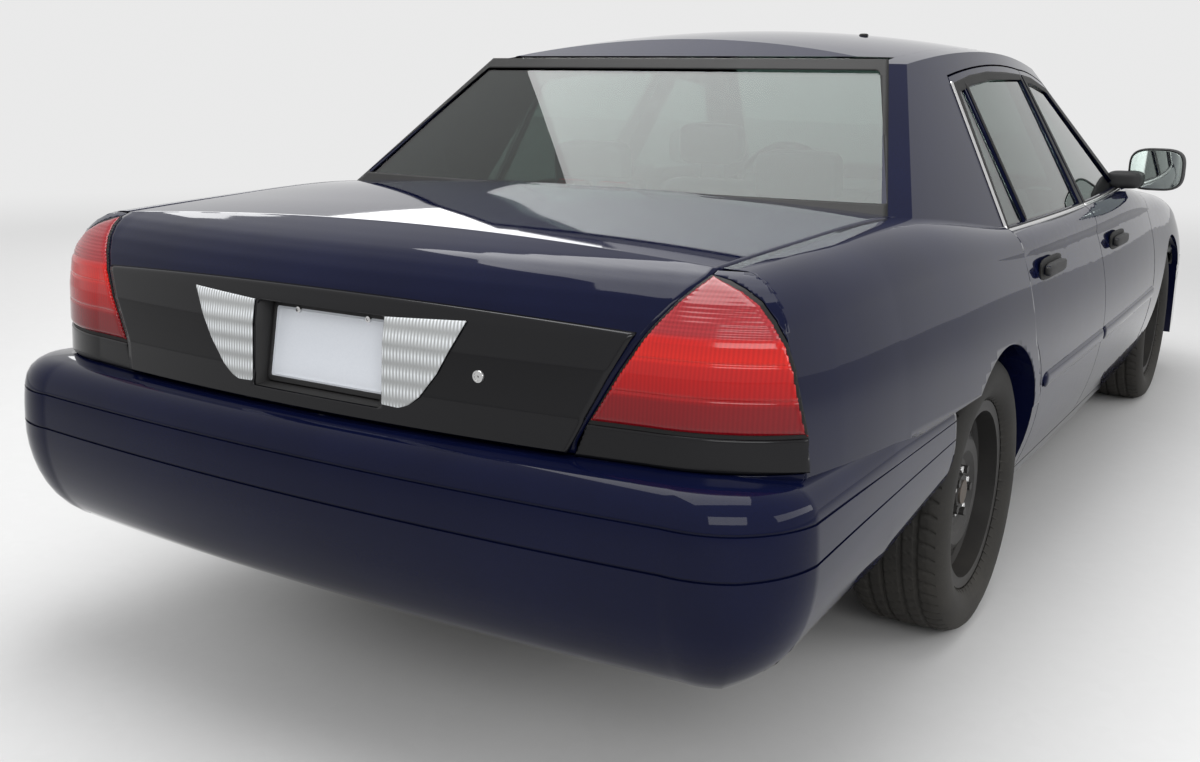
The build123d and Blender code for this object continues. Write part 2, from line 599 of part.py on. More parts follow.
# Crossmembers: x limits, half width, z limits
CROSS = (
    ((2400, 2470), 430, (340, 420)),
    ((1560, 1690), 465, (240, FLOOR_Z)),
    ((960, 1030), 655, (225, 285)),
    ((-860, -800), 655, (225, 285)),
    ((-1780, -1730), 500, (435, 495)),
    ((-2470, -2420), 500, (435, 495)),
)
for x, half, z in CROSS:
    frame = frame + block(x, (-half, half), z)
lower_arm = prism("z", *ARM_Z, (FRONT_AXLE_X - 120, 400), ((FRONT_AXLE_X - 28, 650),),
                  ((FRONT_AXLE_X - 24, KINGPIN_Y),),
                  ((FRONT_AXLE_X, KINGPIN_Y + 24), (FRONT_AXLE_X + 24, KINGPIN_Y)),
                  ((FRONT_AXLE_X + 28, 650),), ((FRONT_AXLE_X + 120, 400),))
upper_arm = prism("z", *UPPER_ARM_Z, (FRONT_AXLE_X - 80, 400), ((FRONT_AXLE_X - 20, 650),),
                  ((FRONT_AXLE_X - 18, KINGPIN_Y),),
                  ((FRONT_AXLE_X, KINGPIN_Y + 18), (FRONT_AXLE_X + 18, KINGPIN_Y)),
                  ((FRONT_AXLE_X + 20, 650),), ((FRONT_AXLE_X + 80, 400),))
KNUCKLE_Z = (ARM_Z[1] + 2, UPPER_ARM_Z[0] - 2)
ball_pins = rod((FRONT_AXLE_X, KINGPIN_Y, ARM_Z[0] + 5), (FRONT_AXLE_X, KINGPIN_Y, KNUCKLE_Z[0] + 30), BALL_R)
ball_pins = ball_pins + rod((FRONT_AXLE_X, KINGPIN_Y, KNUCKLE_Z[1] - 30),
                            (FRONT_AXLE_X, KINGPIN_Y, UPPER_ARM_Z[1] - 5), BALL_R)
arms = lower_arm + upper_arm + ball_pins
arms = arms + block((FRONT_AXLE_X - 62, FRONT_AXLE_X + 62), (395, 465), (ARM_Z[0], RAIL_FRONT_Z[0] + 10))
arms = arms + block((FRONT_AXLE_X - 62, FRONT_AXLE_X + 62), (395, 465), (RAIL_FRONT_Z[1] - 10, UPPER_ARM_Z[1]))
frame = frame + arms + mirrored(arms)
PAD_X = (860, -780)
PAD_Y = 643
for x in PAD_X:
    for y in (-PAD_Y, PAD_Y):
        frame = frame + block((x - PAD_SIZE / 2, x + PAD_SIZE / 2), (y - PAD_SIZE / 2, y + PAD_SIZE / 2),
                              (RAIL_LOW_Z - PAD_DROP, RAIL_LOW_Z + 10))
print("frame solids", [round(solid.volume) for solid in frame.solids()])
export_step(one(frame), "parts/chassis_frame.step")

# Floor: pan, tunnel, firewall, cowl, rear seat step, boot floor, wheelhouses
FLOOR_T = 12
FIREWALL_X = (1150, 1162)
STEP_X = (-880, -1000)
POST_NOTCH_Y = 755
floor = block((STEP_X[0], FIREWALL_X[1]), (-FLOOR_Y, FLOOR_Y), (FLOOR_Z, FLOOR_Z + FLOOR_T))
tunnel = prism("x", STEP_X[0] - 60, FIREWALL_X[0], (-150, FLOOR_Z), ((-100, FLOOR_Z + 130),),
               ((0, FLOOR_Z + 150), (100, FLOOR_Z + 130)), ((150, FLOOR_Z),))
tunnel_space = prism("x", STEP_X[0] - 61, FIREWALL_X[1] + 1, (-138, FLOOR_Z - 1), ((-90, FLOOR_Z + 118),),
                     ((0, FLOOR_Z + 138), (90, FLOOR_Z + 118)), ((138, FLOOR_Z - 1),))
HOUSE_Y = (684, 692)
step = prism("y", -HOUSE_Y[1], HOUSE_Y[1], (STEP_X[0], FLOOR_Z), ((STEP_X[1], BOOT_FLOOR_Z),),
             ((STEP_X[1], BOOT_FLOOR_Z + FLOOR_T),), ((STEP_X[0] + 14, FLOOR_Z + FLOOR_T),))
boot_floor = block((-2450, STEP_X[1] + 1), (-690, 690), (BOOT_FLOOR_Z, BOOT_FLOOR_Z + FLOOR_T))
firewall = block(FIREWALL_X, (-FLOOR_Y, FLOOR_Y), (FLOOR_Z, BELT_Z + 60)) & body_form(SKIN + SEAM, SKIN + SEAM, SKIN, 60)
cowl = shell_skin & block(COWL_X, (-COWL_Y, COWL_Y), (800, 1200))
cowl = cowl - cabin_form(-SEAM, -SEAM)
HOUSE_R = (400, 412)
house = wheel_cylinder(REAR_AXLE_X, HOUSE_R[1], HOUSE_Y[0], 918) - wheel_cylinder(
    REAR_AXLE_X, HOUSE_R[0], HOUSE_Y[1], 1001)
house = house & (block((-2000, -800), (600, 1000), (BOOT_FLOOR_Z, 900)) + block(
    (REAR_AXLE_X + 300, -800), (600, 1000), (FLOOR_Z + 1, 900)))
house = house - block((C_CUT_X - 62, -700), (815, 1100), (0, 1000))
house = biggest(house)
floor_pan = (floor + tunnel + step) - tunnel_space
for y in ((-800, -POST_NOTCH_Y), (POST_NOTCH_Y, 800)):
    floor_pan = floor_pan - block((B_POST_X[0] - SEAM, B_POST_X[1] + SEAM), y, (FLOOR_Z - 1, FLOOR_Z + FLOOR_T + 1))
floor_pan = floor_pan + boot_floor + firewall + cowl + house + mirrored(house)
for low_y, high_y in ((560, 600), (-600, -560)):
    bracket = block((FIREWALL_X[0], 1215), (low_y, high_y), (880, 1050))
    floor_pan = floor_pan + (bracket & body_form(SKIN + SEAM, SKIN + SEAM, SKIN, 60))
print("floor solids", [round(solid.volume) for solid in floor_pan.solids()])
export_step(one(floor_pan), "parts/floor_pan.step")

# Live rear axle with its hubs, springs and arms
AXLE_R = 42
REAR_FACE_Y = REAR_TRACK / 2 + 44
FRONT_FACE_Y = FRONT_TRACK / 2 + 44
axle = rod((REAR_AXLE_X, -700, TYRE_R), (REAR_AXLE_X, 700, TYRE_R), AXLE_R)
axle = axle + Pos(REAR_AXLE_X, 0, TYRE_R) * Sphere(125)
hub_face = REAR_FACE_Y - 1
for sign in (-1, 1):
    axle = axle + rod((REAR_AXLE_X, sign * 690, TYRE_R), (REAR_AXLE_X, sign * hub_face, TYRE_R), 62)
    axle = axle + rod((REAR_AXLE_X, sign * hub_face, TYRE_R), (REAR_AXLE_X, sign * (hub_face + 26), TYRE_R), SPINDLE_R)
    axle = axle + rod((REAR_AXLE_X, sign * 500, TYRE_R), (REAR_AXLE_X, sign * 500, 425 - SEAM), 55)
    axle = axle + rod((REAR_AXLE_X, sign * 770, TYRE_R), (REAR_AXLE_X, sign * 790, TYRE_R), 150)
    axle = axle + block((REAR_AXLE_X, -960), (sign * 644 - 12, sign * 644 + 12), (290, 335))
export_step(one(axle), "parts/rear_axle.step")

# Steering knuckle: upright, stub axle and brake disc
upright = block((FRONT_AXLE_X - 26, FRONT_AXLE_X + 26), (KINGPIN_Y - 24, KINGPIN_Y + 24), KNUCKLE_Z)
for low, high in ((KNUCKLE_Z[0] - 1, KNUCKLE_Z[0] + 32), (KNUCKLE_Z[1] - 32, KNUCKLE_Z[1] + 1)):
    upright = upright - rod((FRONT_AXLE_X, KINGPIN_Y, low), (FRONT_AXLE_X, KINGPIN_Y, high), BALL_R + PIN_PLAY)
hub_y = FRONT_FACE_Y - 1
for y, reach, radius in ((KINGPIN_Y + 20, hub_y, 55), (hub_y - 1, hub_y + 26, SPINDLE_R), (780, 804, 140)):
    upright = upright + rod((FRONT_AXLE_X, y, TYRE_R), (FRONT_AXLE_X, reach, TYRE_R), radius)
for side, turn in SIDES.items():
    export_step(one(turn(upright)), f"parts/knuckle_{side}.step")

# Wheel: steel rim and tyre, turned about Y at the origin, outside face towards +Y
half_rim = RIM_WIDTH / 2
barrel = (
    (-half_rim, FLANGE_R), (-half_rim + 7, FLANGE_R), (-half_rim + 7, RIM_R), (-50, RIM_R - 2), (-30, 198),
    (20, 198), (44, RIM_R - 2), (half_rim - 7, RIM_R), (half_rim - 7, FLANGE_R), (half_rim, FLANGE_R),
    (half_rim, RIM_R - 8), (48, RIM_R - 10), (24, 190), (-34, 190), (-54, RIM_R - 10), (-half_rim, RIM_R - 8))
FACE_Y = 44
disc = (
    (FACE_Y, SPINDLE_R + PIN_PLAY), (FACE_Y + 20, SPINDLE_R + PIN_PLAY), (FACE_Y + 20, 42), (FACE_Y + DISC_T, 48),
    (FACE_Y + DISC_T, 84), (FACE_Y + 22, 104), (FACE_Y + 22, 132), (FACE_Y + 6, 160), (FACE_Y - 6, 201),
    (FACE_Y - 16, 201), (FACE_Y - 4, 158), (FACE_Y + 13, 128), (FACE_Y + 13, 106), (FACE_Y, 88))


def turned(points):
    """A ring turned about the Y axis from a section of (y, radius) points."""
    face = Face(Wire.make_polygon([(radius, y, 0) for y, radius in points]))
    return revolve(face, axis=Axis.Y)


rim = turned(barrel) + turned(disc)
VENTS = 16
LUGS = 5
LUG_CIRCLE_R = 57.15
for index in range(VENTS):
    hole = Rot(0, 360 / VENTS * (index + 0.5), 0) * rod((158, FACE_Y - 40, 0), (158, FACE_Y + 40, 0), 11)
    rim = rim - hole
for index in range(LUGS):
    nut = extrude(Plane((0, FACE_Y + DISC_T - 1, 0), z_dir=(0, 1, 0)) * RegularPolygon(11, 6), 20)
    rim = rim + Rot(0, 360 / LUGS * index, 0) * Pos(LUG_CIRCLE_R, 0, 0) * nut
half_tyre = TYRE_WIDTH / 2
bead = half_rim - 7 - SEAM
seat = RIM_R + SEAM
section = Wire([
    Edge.make_line((seat, -bead, 0), (FLANGE_R + 3, -bead, 0)),
    Edge.make_line((FLANGE_R + 3, -bead, 0), (TYRE_R - 80, -half_tyre + 6, 0)),
    Edge.make_three_point_arc((TYRE_R - 80, -half_tyre + 6, 0), (TYRE_R - 45, -half_tyre, 0),
                              (TYRE_R - 14, -half_tyre + 18, 0)),
    Edge.make_line((TYRE_R - 14, -half_tyre + 18, 0), (TYRE_R - 3, -half_tyre + 34, 0)),
    Edge.make_three_point_arc((TYRE_R - 3, -half_tyre + 34, 0), (TYRE_R, 0, 0), (TYRE_R - 3, half_tyre - 34, 0)),
    Edge.make_line((TYRE_R - 3, half_tyre - 34, 0), (TYRE_R - 14, half_tyre - 18, 0)),
    Edge.make_three_point_arc((TYRE_R - 14, half_tyre - 18, 0), (TYRE_R - 45, half_tyre, 0),
                              (TYRE_R - 80, half_tyre - 6, 0)),
    Edge.make_line((TYRE_R - 80, half_tyre - 6, 0), (FLANGE_R + 3, bead, 0)),
    Edge.make_line((FLANGE_R + 3, bead, 0), (seat, bead, 0)),
    Edge.make_line((seat, bead, 0), (seat, bead - 20, 0)),
    Edge.make_line((seat, bead - 20, 0), (TYRE_R - 70, half_tyre - 20, 0)),
    Edge.make_line((TYRE_R - 70, half_tyre - 20, 0), (TYRE_R - 18, half_tyre - 40, 0)),
    Edge.make_line((TYRE_R - 18, half_tyre - 40, 0), (TYRE_R - 18, -half_tyre + 40, 0)),
    Edge.make_line((TYRE_R - 18, -half_tyre + 40, 0), (TYRE_R - 70, -half_tyre + 20, 0)),
    Edge.make_line((TYRE_R - 70, -half_tyre + 20, 0), (seat, -bead + 20, 0)),
    Edge.make_line((seat, -bead + 20, 0), (seat, -bead, 0)),
])
tyre = revolve(Face(section), axis=Axis.Y)
# wheel: axle x, centre y
WHEELS = {"front": (FRONT_AXLE_X, FRONT_TRACK / 2), "rear": (REAR_AXLE_X, REAR_TRACK / 2)}
for end, (x, y) in WHEELS.items():
    for side, turn in SIDES.items():
        for node, piece in (("rim", rim), ("tyre", tyre)):
            export_step(one(turn(Pos(x, y, TYRE_R) * piece)), f"parts/{node}_{end}_{side}.step")

# Engine: one plain block on the front crossmember
engine = block((1250, 1900), (-200, 200), (FLOOR_Z + SEAM, 800))
export_step(fillet(engine.edges().filter_by(Axis.X), 60), "parts/engine_block.step")

# Fuel tank under the boot floor
tank = block((-2360, -1820), (-430, 430), (300, BOOT_FLOOR_Z - SEAM))
export_step(fillet(tank.edges().filter_by(Axis.Y), 40), "parts/fuel_tank.step")

# Exhaust: pipe, silencer and tail pipe, over the axle on the right
PIPE_R = 28
EXHAUST_ROUTE = ((1320, -160, 271), (1150, -170, 194), (500, -300, 194), (-100, -340, 200), (-880, -340, 190),
                 (-1080, -330, 420), (REAR_AXLE_X, -325, 452), (-1560, -400, 385), (-1760, -600, 340),
                 (-2600, -600, 268))
MUFFLER_X = (-640, 0)
exhaust = block(MUFFLER_X, (-460, -220), (170, FLOOR_Z - SEAM))
exhaust = fillet(exhaust.edges().filter_by(Axis.X), 50)
for a, b in zip(EXHAUST_ROUTE, EXHAUST_ROUTE[1:]):
    exhaust = exhaust + rod(a, b, PIPE_R)
for point in EXHAUST_ROUTE[1:-1]:
    exhaust = exhaust + Pos(*point) * Sphere(PIPE_R)
export_step(one(exhaust), "parts/exhaust.step")

# Dashboard with its steering column, and the steering wheel
WHEEL_AT = (505, 395, 905)
COLUMN_DIR = (0.9, 0, -0.436)
DASH_Y = 752
DASH_SPLIT_Z = 885
dash = prism("y", -DASH_Y, DASH_Y, (FIREWALL_X[0] - SEAM, 640), ((FIREWALL_X[0] - SEAM, 890),),
             ((900, 925), (700, 900)), ((665, 820), (700, 740)), ((860, 640),))
dash = dash & (block((600, 1200), (-800, 800), (600, DASH_SPLIT_Z)) + cabin_form(PILLAR_DEPTH + GAP, ROOF_T + GAP))
column_end = tuple(c + 260 * d for c, d in zip(WHEEL_AT, COLUMN_DIR))
column_start = tuple(c + 34 * d for c, d in zip(WHEEL_AT, COLUMN_DIR))
shaft_start = tuple(c + 8 * d for c, d in zip(WHEEL_AT, COLUMN_DIR))
dash = dash + rod(column_start, column_end, 36) + rod(shaft_start, column_end, 11)
export_step(one(dash), "parts/dashboard.step")
wheel_plane = Plane(origin=WHEEL_AT, z_dir=COLUMN_DIR, x_dir=(0, 1, 0))
steering = Torus(188, 14)
steering = steering + Pos(0, 0, 2) * Cylinder(58, 30)
for angle in (0, 120, 240):
    steering = steering + Rot(0, 0, angle + 90) * Pos(0, 120, 4) * Box(34, 140, 12)
steering = wheel_plane * steering - rod(tuple(c + 4 * d for c, d in zip(WHEEL_AT, COLUMN_DIR)),
                                        column_end, 11 + PIN_PLAY)
export_step(one(steering), "parts/steering_wheel.step")

# Seats: cushion, leaning back and headrest
SEAT_HALF = 232
SEAT_Y = 395


def seat(middle_y, half, cushion, back, rest, base_z):
    """One seat: cushion and back as side-view outlines, with a headrest on its two posts."""
    y = (middle_y - half, middle_y + half)
    body_piece = prism("y", *y, cushion[0], *[(p,) for p in cushion[1:]])
    body_piece = body_piece + prism("y", *y, back[0], *[(p,) for p in back[1:]])
    x, z = rest
    for offset in ((0,) if half < 300 else (-330, 330)):
        head = block((x - 45, x + 45), (middle_y + offset - 125, middle_y + offset + 125), (z, z + 150))
        head = fillet(head.edges().filter_by(Axis.Y), 30)
        posts = block((x - 8, x + 8), (middle_y + offset - 60, middle_y + offset + 60), (z - 60, z + 30))
        body_piece = body_piece + head + posts
    return body_piece


front_cushion = ((460, FLOOR_Z + FLOOR_T + SEAM), (470, 520), (-60, 490), (-60, FLOOR_Z + FLOOR_T + SEAM))
front_back = ((30, 430), (-80, 1000), (-190, 1000), (-120, 430))
seat_left = seat(SEAT_Y, SEAT_HALF, front_cushion, front_back, (-130, 1030), FLOOR_Z)
export_step(Compound(children=[one(seat_left), mirrored(one(seat_left))]), "parts/front_seats.step")
rear_cushion = ((-480, FLOOR_Z + FLOOR_T + SEAM), (-465, 500), (-985, 560), (-985, 522), (-870, 340),
                (-850, FLOOR_Z + FLOOR_T + SEAM))
rear_back = ((-900, 530), (-1000, 970), (-1110, 970), (-1020, 530))
rear_bench = seat(0, 640, rear_cushion, rear_back, (-1060, 1000), FLOOR_Z)
rear_bench = rear_bench - prism("x", -960, -460, (-165, FLOOR_Z), ((-110, FLOOR_Z + 140),),
                                ((0, FLOOR_Z + 162), (110, FLOOR_Z + 140)), ((165, FLOOR_Z),))
export_step(one(rear_bench), "parts/rear_seat.step")

# Parcel shelf with the high stop lamp
SHELF_Z = (975, 990)
shelf = block((-1640, -1112), (-760, 760), SHELF_Z) & cabin_form(PILLAR_DEPTH + 2, ROOF_T)
shelf = shelf + block((-1580, -1520), (-110, 110), (980, 1035))
under_skin = body_form(SKIN + SEAM, SKIN + SEAM, SKIN, 60)
HINGE_Y = (560, 600)
for low_y, high_y in (HINGE_Y, (-HINGE_Y[1], -HINGE_Y[0])):
    shelf = shelf + (block((-1705, -1590), (low_y, high_y), (SHELF_Z[0], 1100)) & under_skin)
shelf = shelf + block((-1125, -1112), (-680, 680), (BOOT_FLOOR_Z + FLOOR_T + SEAM, 985))
export_step(one(shelf), "parts/parcel_shelf.step")

# Pieces on the boot lid: gloss panel, reverse lamps, number plate
TRIM_T = 7
PANEL_TOP = (668, 915)
PLATE_HALF = 160
PLATE_Z = (730, 892)
REVERSE_Y = (172, 338)
REVERSE_Z = (735, 888)
POCKET_Z = (728, 894)
trim_band = body_form(-TRIM_T, -200, 0, -TRIM_T) - body_form(0, -210, 0, -SEAM)
outline = prism("x", -2800, -2400, (LID_FOOT[0] - 6, LID_FOOT[1]), (PANEL_TOP,), ((-PANEL_TOP[0], PANEL_TOP[1]),),
                ((6 - LID_FOOT[0], LID_FOOT[1]),))
panel = (trim_band & outline) - block((-2800, -2400), (-REVERSE_Y[1] - 2, REVERSE_Y[1] + 2), POCKET_Z)
export_step(biggest(panel), "parts/lid_panel.step")
reverse = biggest(trim_band & block((-2800, -2400), REVERSE_Y, REVERSE_Z))
export_step(Compound(children=[reverse, mirrored(reverse)]), "parts/reverse_lamps.step")
plate = biggest(trim_band & block((-2800, -2400), (-PLATE_HALF, PLATE_HALF), PLATE_Z))
export_step(plate, "parts/number_plate.step")
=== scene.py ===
import bmesh
import bpy
import math
import numpy as np
from mathutils import Matrix, Vector


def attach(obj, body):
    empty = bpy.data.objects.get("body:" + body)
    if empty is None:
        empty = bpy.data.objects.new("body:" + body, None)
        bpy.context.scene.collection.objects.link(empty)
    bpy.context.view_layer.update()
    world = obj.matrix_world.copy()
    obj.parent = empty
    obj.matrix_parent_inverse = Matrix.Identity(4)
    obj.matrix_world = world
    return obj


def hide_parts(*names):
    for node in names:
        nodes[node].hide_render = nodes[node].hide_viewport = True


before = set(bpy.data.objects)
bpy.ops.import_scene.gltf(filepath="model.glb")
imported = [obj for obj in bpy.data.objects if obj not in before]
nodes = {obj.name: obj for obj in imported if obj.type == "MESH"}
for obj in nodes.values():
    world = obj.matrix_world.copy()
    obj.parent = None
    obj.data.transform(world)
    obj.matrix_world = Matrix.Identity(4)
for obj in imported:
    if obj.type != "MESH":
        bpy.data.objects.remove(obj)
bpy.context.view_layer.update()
scene = bpy.context.scene

# Viewpoint. A standing viewer behind the right rear corner looks along the car's right side and
# slightly down on the boot. The lens and the shift give the framing of a 1200 by 762 picture.
FRAME_PX = (1200, 762)
SENSOR_MM = 36
EYE = (-4.360, -1.688, 1.319)
EYE_TURN, EYE_TILT, EYE_ROLL = 0.5566, -0.2193, 0.0145
EYE_FOCAL_PX = 1275.4
EYE_CENTRE_PX = (580.3, 368.1)

camera_data = bpy.data.cameras.new("viewpoint")
camera_data.sensor_width = SENSOR_MM
camera_data.lens = EYE_FOCAL_PX / FRAME_PX[0] * SENSOR_MM
camera_data.shift_x = (FRAME_PX[0] / 2 - EYE_CENTRE_PX[0]) / FRAME_PX[0]
camera_data.shift_y = (EYE_CENTRE_PX[1] - FRAME_PX[1] / 2) / FRAME_PX[0]
camera = bpy.data.objects.new("viewpoint", camera_data)
scene.collection.objects.link(camera)
camera.matrix_world = (Matrix.Translation(EYE) @ Matrix.Rotation(EYE_TURN - math.pi / 2, 4, "Z")
                       @ Matrix.Rotation(EYE_TILT + math.pi / 2, 4, "X") @ Matrix.Rotation(EYE_ROLL, 4, "Z"))
scene.camera = camera

# Body paint. Pressed steel panels are sprayed dark navy with fine metal flake under clear lacquer.
# The flake glints at random, and a thin film of road dust gathers on the lowest part of the panels.


def node_group(name, kind, inputs, outputs):
    """An empty node group, the sockets that it is given and those that it puts out. Each name has its kind."""
    group = bpy.data.node_groups.new(name, kind)
    for in_out, sockets in (("INPUT", inputs), ("OUTPUT", outputs)):
        for label, sort in sockets.items():
            group.interface.new_socket(name=label, in_out=in_out, socket_type="NodeSocket" + sort)
    return group, group.nodes.new("NodeGroupInput").outputs, group.nodes.new("NodeGroupOutput").inputs


def add_node(tree, kind, given=(), **values):
    """A node of the tree. What is given by name or number is linked, or set where it is a plain value."""
    node = tree.nodes.new(kind if "Node" in kind else "ShaderNode" + kind)
    for key, value in values.items():
        if hasattr(node, key):
            setattr(node, key, value)
        else:
            node.inputs[key.replace("_", " ")].default_value = value
    for key, value in dict(given).items():
        if isinstance(value, bpy.types.NodeSocket):
            tree.links.new(value, node.inputs[key])
        else:
            node.inputs[key].default_value = value
    return node


def maths(tree, operation, a, b, **values):
    """The result of a sum of two sockets or numbers."""
    return add_node(tree, "Math", {0: a, 1: b}, operation=operation, **values).outputs[0]


def mix(tree, factor, a, b, kind="RGBA", **values):
    """The blend of two colours, or of two numbers where the kind is FLOAT."""
    first, result = {"RGBA": (6, 2), "FLOAT": (2, 0)}[kind]
    return add_node(tree, "Mix", {0: factor, first: a, first + 1: b}, data_type=kind, **values).outputs[result]


def place_in(tree):
    """The point on the piece."""
    return add_node(tree, "TexCoord").outputs["Object"]


def waves(tree, scale, distortion, direction):
    """Wavy bands that follow each other along an axis."""
    return add_node(tree, "TexWave", {"Vector": place_in(tree)}, Scale=scale, Distortion=distortion,
                    bands_direction=direction).outputs["Fac"]


FINISH = {"Color": "Color", "Roughness": "Float"}
DUST_COLOUR, DUST_ROUGHNESS = (0.16, 0.145, 0.12, 1), 0.85
PANEL_JOIN_M, PANEL_SMOOTH_DEG = 0.00002, 28


def speckle_group():
    """Colour and roughness speckle: a cell pattern picks grains, a slow noise varies their share."""
    group, given, put = node_group(
        "speckle", "ShaderNodeTree", {"Vector": "Vector", "Base": "Color", "Grain": "Color", "Scale": "Float",
                                      "Share": "Float", "Roughness": "Float", "Spread": "Float"}, FINISH)
    cells = add_node(group, "TexVoronoi", {"Vector": given["Vector"], "Scale": given["Scale"]})
    slow = add_node(group, "TexNoise", {"Vector": given["Vector"]}, Scale=5.0, Detail=3.0).outputs["Fac"]
    grey = add_node(group, "RGBToBW", {"Color": cells.outputs["Color"]}).outputs[0]
    grains = maths(group, "MULTIPLY", maths(group, "MULTIPLY", grey, given["Share"]), slow)
    swing = maths(group, "MULTIPLY", maths(group, "SUBTRACT", slow, 0.5), given["Spread"])
    group.links.new(mix(group, grains, given["Base"], given["Grain"]), put["Color"])
    group.links.new(maths(group, "ADD", swing, given["Roughness"]), put["Roughness"])
    return group


def dust_group():
    """Road film: it thickens towards the ground over the given height, broken up by noise."""
    group, given, put = node_group("road_film", "ShaderNodeTree", {"Vector": "Vector", **FINISH, "Film": "Color",
                                                                   "Top": "Float", "Amount": "Float"}, FINISH)
    height = add_node(group, "SeparateXYZ", {"Vector": given["Vector"]}).outputs["Z"]
    fall = add_node(group, "MapRange", {"Value": height, "From Min": given["Top"]}, From_Max=0.0).outputs[0]
    noise = add_node(group, "TexNoise", {"Vector": given["Vector"]}, Scale=7.0, Detail=6.0, Roughness=0.6)
    share = maths(group, "MULTIPLY", fall, noise.outputs["Fac"])
    mask = maths(group, "MULTIPLY", share, given["Amount"], use_clamp=True)
    group.links.new(mix(group, mask, given["Color"], given["Film"]), put["Color"])
    group.links.new(mix(group, mask, given["Roughness"], DUST_ROUGHNESS, "FLOAT"), put["Roughness"])
    return group


def smooth_by_angle():
    """Panel finish: points that touch are joined, and edges under the given angle shade smoothly."""
    form = {"Geometry": "Geometry"}
    tree, given, put = node_group("smooth_panels", "GeometryNodeTree", form, form)
    merge = add_node(tree, "GeometryNodeMergeByDistance", {0: given[0]}, Distance=PANEL_JOIN_M)
    angle = add_node(tree, "GeometryNodeInputMeshEdgeAngle").outputs[0]
    soft = add_node(tree, "FunctionNodeCompare", {0: angle, 1: math.radians(PANEL_SMOOTH_DEG)},
                    operation="LESS_THAN").outputs[0]
    faces = add_node(tree, "GeometryNodeSetShadeSmooth", {0: merge.outputs[0]})
    edges = add_node(tree, "GeometryNodeSetShadeSmooth", {0: faces.outputs[0], "Shade Smooth": soft}, domain="EDGE")
    tree.links.new(edges.outputs[0], put[0])
    return tree


SPECKLE, ROAD_FILM, SMOOTH_PANELS = speckle_group(), dust_group(), smooth_by_angle()
SIDES = ("left", "right")
CORNERS = [f"{end}_{side}" for end in ("front", "rear") for side in SIDES]


def finish_of(name, base, grain, scale, share, rough, spread=0.1, film=0.0, film_top=0.5, bump=0.0,
              bump_scale=400.0, on=(), **shader):
    """A material of speckle, road film and a fine bump, put on the named CAD nodes with smooth shading. A base or
    grain that is one number is a grey."""
    material = bpy.data.materials.new(name)
    material.use_nodes = True
    tree = material.node_tree
    bsdf = tree.nodes["Principled BSDF"]
    where = place_in(tree)
    base, grain = ((*(np.ones(3) * colour), 1) for colour in (base, grain))
    last = add_node(tree, "Group", {"Vector": where}, node_tree=SPECKLE, Base=base, Grain=grain, Scale=scale,
                    Share=share, Roughness=rough, Spread=spread).outputs
    if film:
        last = add_node(tree, "Group", {"Vector": where, "Color": last["Color"], "Roughness": last["Roughness"]},
                        node_tree=ROAD_FILM, Film=DUST_COLOUR, Top=film_top, Amount=film).outputs
    tree.links.new(last["Color"], bsdf.inputs["Base Color"])
    tree.links.new(last["Roughness"], bsdf.inputs["Roughness"])
    if bump:
        grit = add_node(tree, "TexNoise", {"Vector": where}, Scale=bump_scale, Detail=4.0)
        relief = add_node(tree, "Bump", {"Height": grit.outputs["Fac"]}, Strength=bump, Distance=0.001)
        tree.links.new(relief.outputs["Normal"], bsdf.inputs["Normal"])
    for key, value in shader.items():
        bsdf.inputs[key.replace("_", " ")].default_value = value
    for node in (nodes[key] for key in on):
        node.data.materials.clear()
        node.data.materials.append(material)
        node.modifiers.new("smooth", "NODES").node_group = SMOOTH_PANELS
    return material


def tint(material, colour):
    """Gives the material's Base Color another source."""
    material.node_tree.links.new(colour, material.node_tree.nodes["Principled BSDF"].inputs["Base Color"])


navy_paint = finish_of(
    "navy_paint", (0.0018, 0.0028, 0.0150), (0.007, 0.011, 0.055), 1400.0, 0.5, 0.38, 0.06, 0.3, 0.45,
    on=("side_frame_left", "side_frame_right", "roof_panel", "front_wings", "front_bumper", "bonnet", "floor_pan",
        *("door_" + corner for corner in CORNERS)),
    Specular_IOR_Level=0.0, Coat_Weight=1.0, Coat_Roughness=0.03, Coat_IOR=1.24)
finish_of("chassis_black", 0.012, (0.06, 0.05, 0.04), 240.0, 0.5, 0.55, 0.2, 0.6, bump=0.3,
          on=("chassis_frame", "fuel_tank"))
gloss_black = finish_of("gloss_black", (0.004, 0.004, 0.005), (0.012, 0.012, 0.014), 600.0, 0.2, 0.14, 0.05,
                        Specular_IOR_Level=0.28)
black_plastic = finish_of("black_plastic", (0.014, 0.014, 0.015), 0.03, 700.0, 0.4, 0.55, 0.12, 0.2,
                          0.9, bump=0.25, bump_scale=900.0, on=("grille", "steering_wheel"), Specular_IOR_Level=0.3)
grey_plastic = finish_of("grey_plastic", (0.16, 0.165, 0.175), (0.24, 0.24, 0.25), 500.0, 0.5, 0.6, bump=0.3,
                         bump_scale=800.0, on=("dashboard", "parcel_shelf"))
grey_cloth = finish_of("grey_cloth", (0.13, 0.135, 0.15), (0.22, 0.22, 0.24), 800.0, 0.8, 0.9, 0.05, bump=0.5,
                       bump_scale=600.0, Sheen_Weight=0.4)
finish_of("cast_iron", (0.10, 0.095, 0.09), (0.20, 0.12, 0.07), 90.0, 0.7, 0.62, 0.2, 0.5, bump=0.4,
          on=("rear_axle", "knuckle_left", "knuckle_right"), Metallic=0.7)
pipe_steel = finish_of("pipe_steel", (0.25, 0.23, 0.21), (0.30, 0.18, 0.10), 60.0, 0.6, 0.5, 0.2, 0.4, bump=0.2,
                       Metallic=0.85)
finish_of("engine_metal", 0.30, (0.45, 0.45, 0.44), 200.0, 0.5, 0.45, 0.2, 0.4, bump=0.3,
          on=("engine_block",), Metallic=0.8)
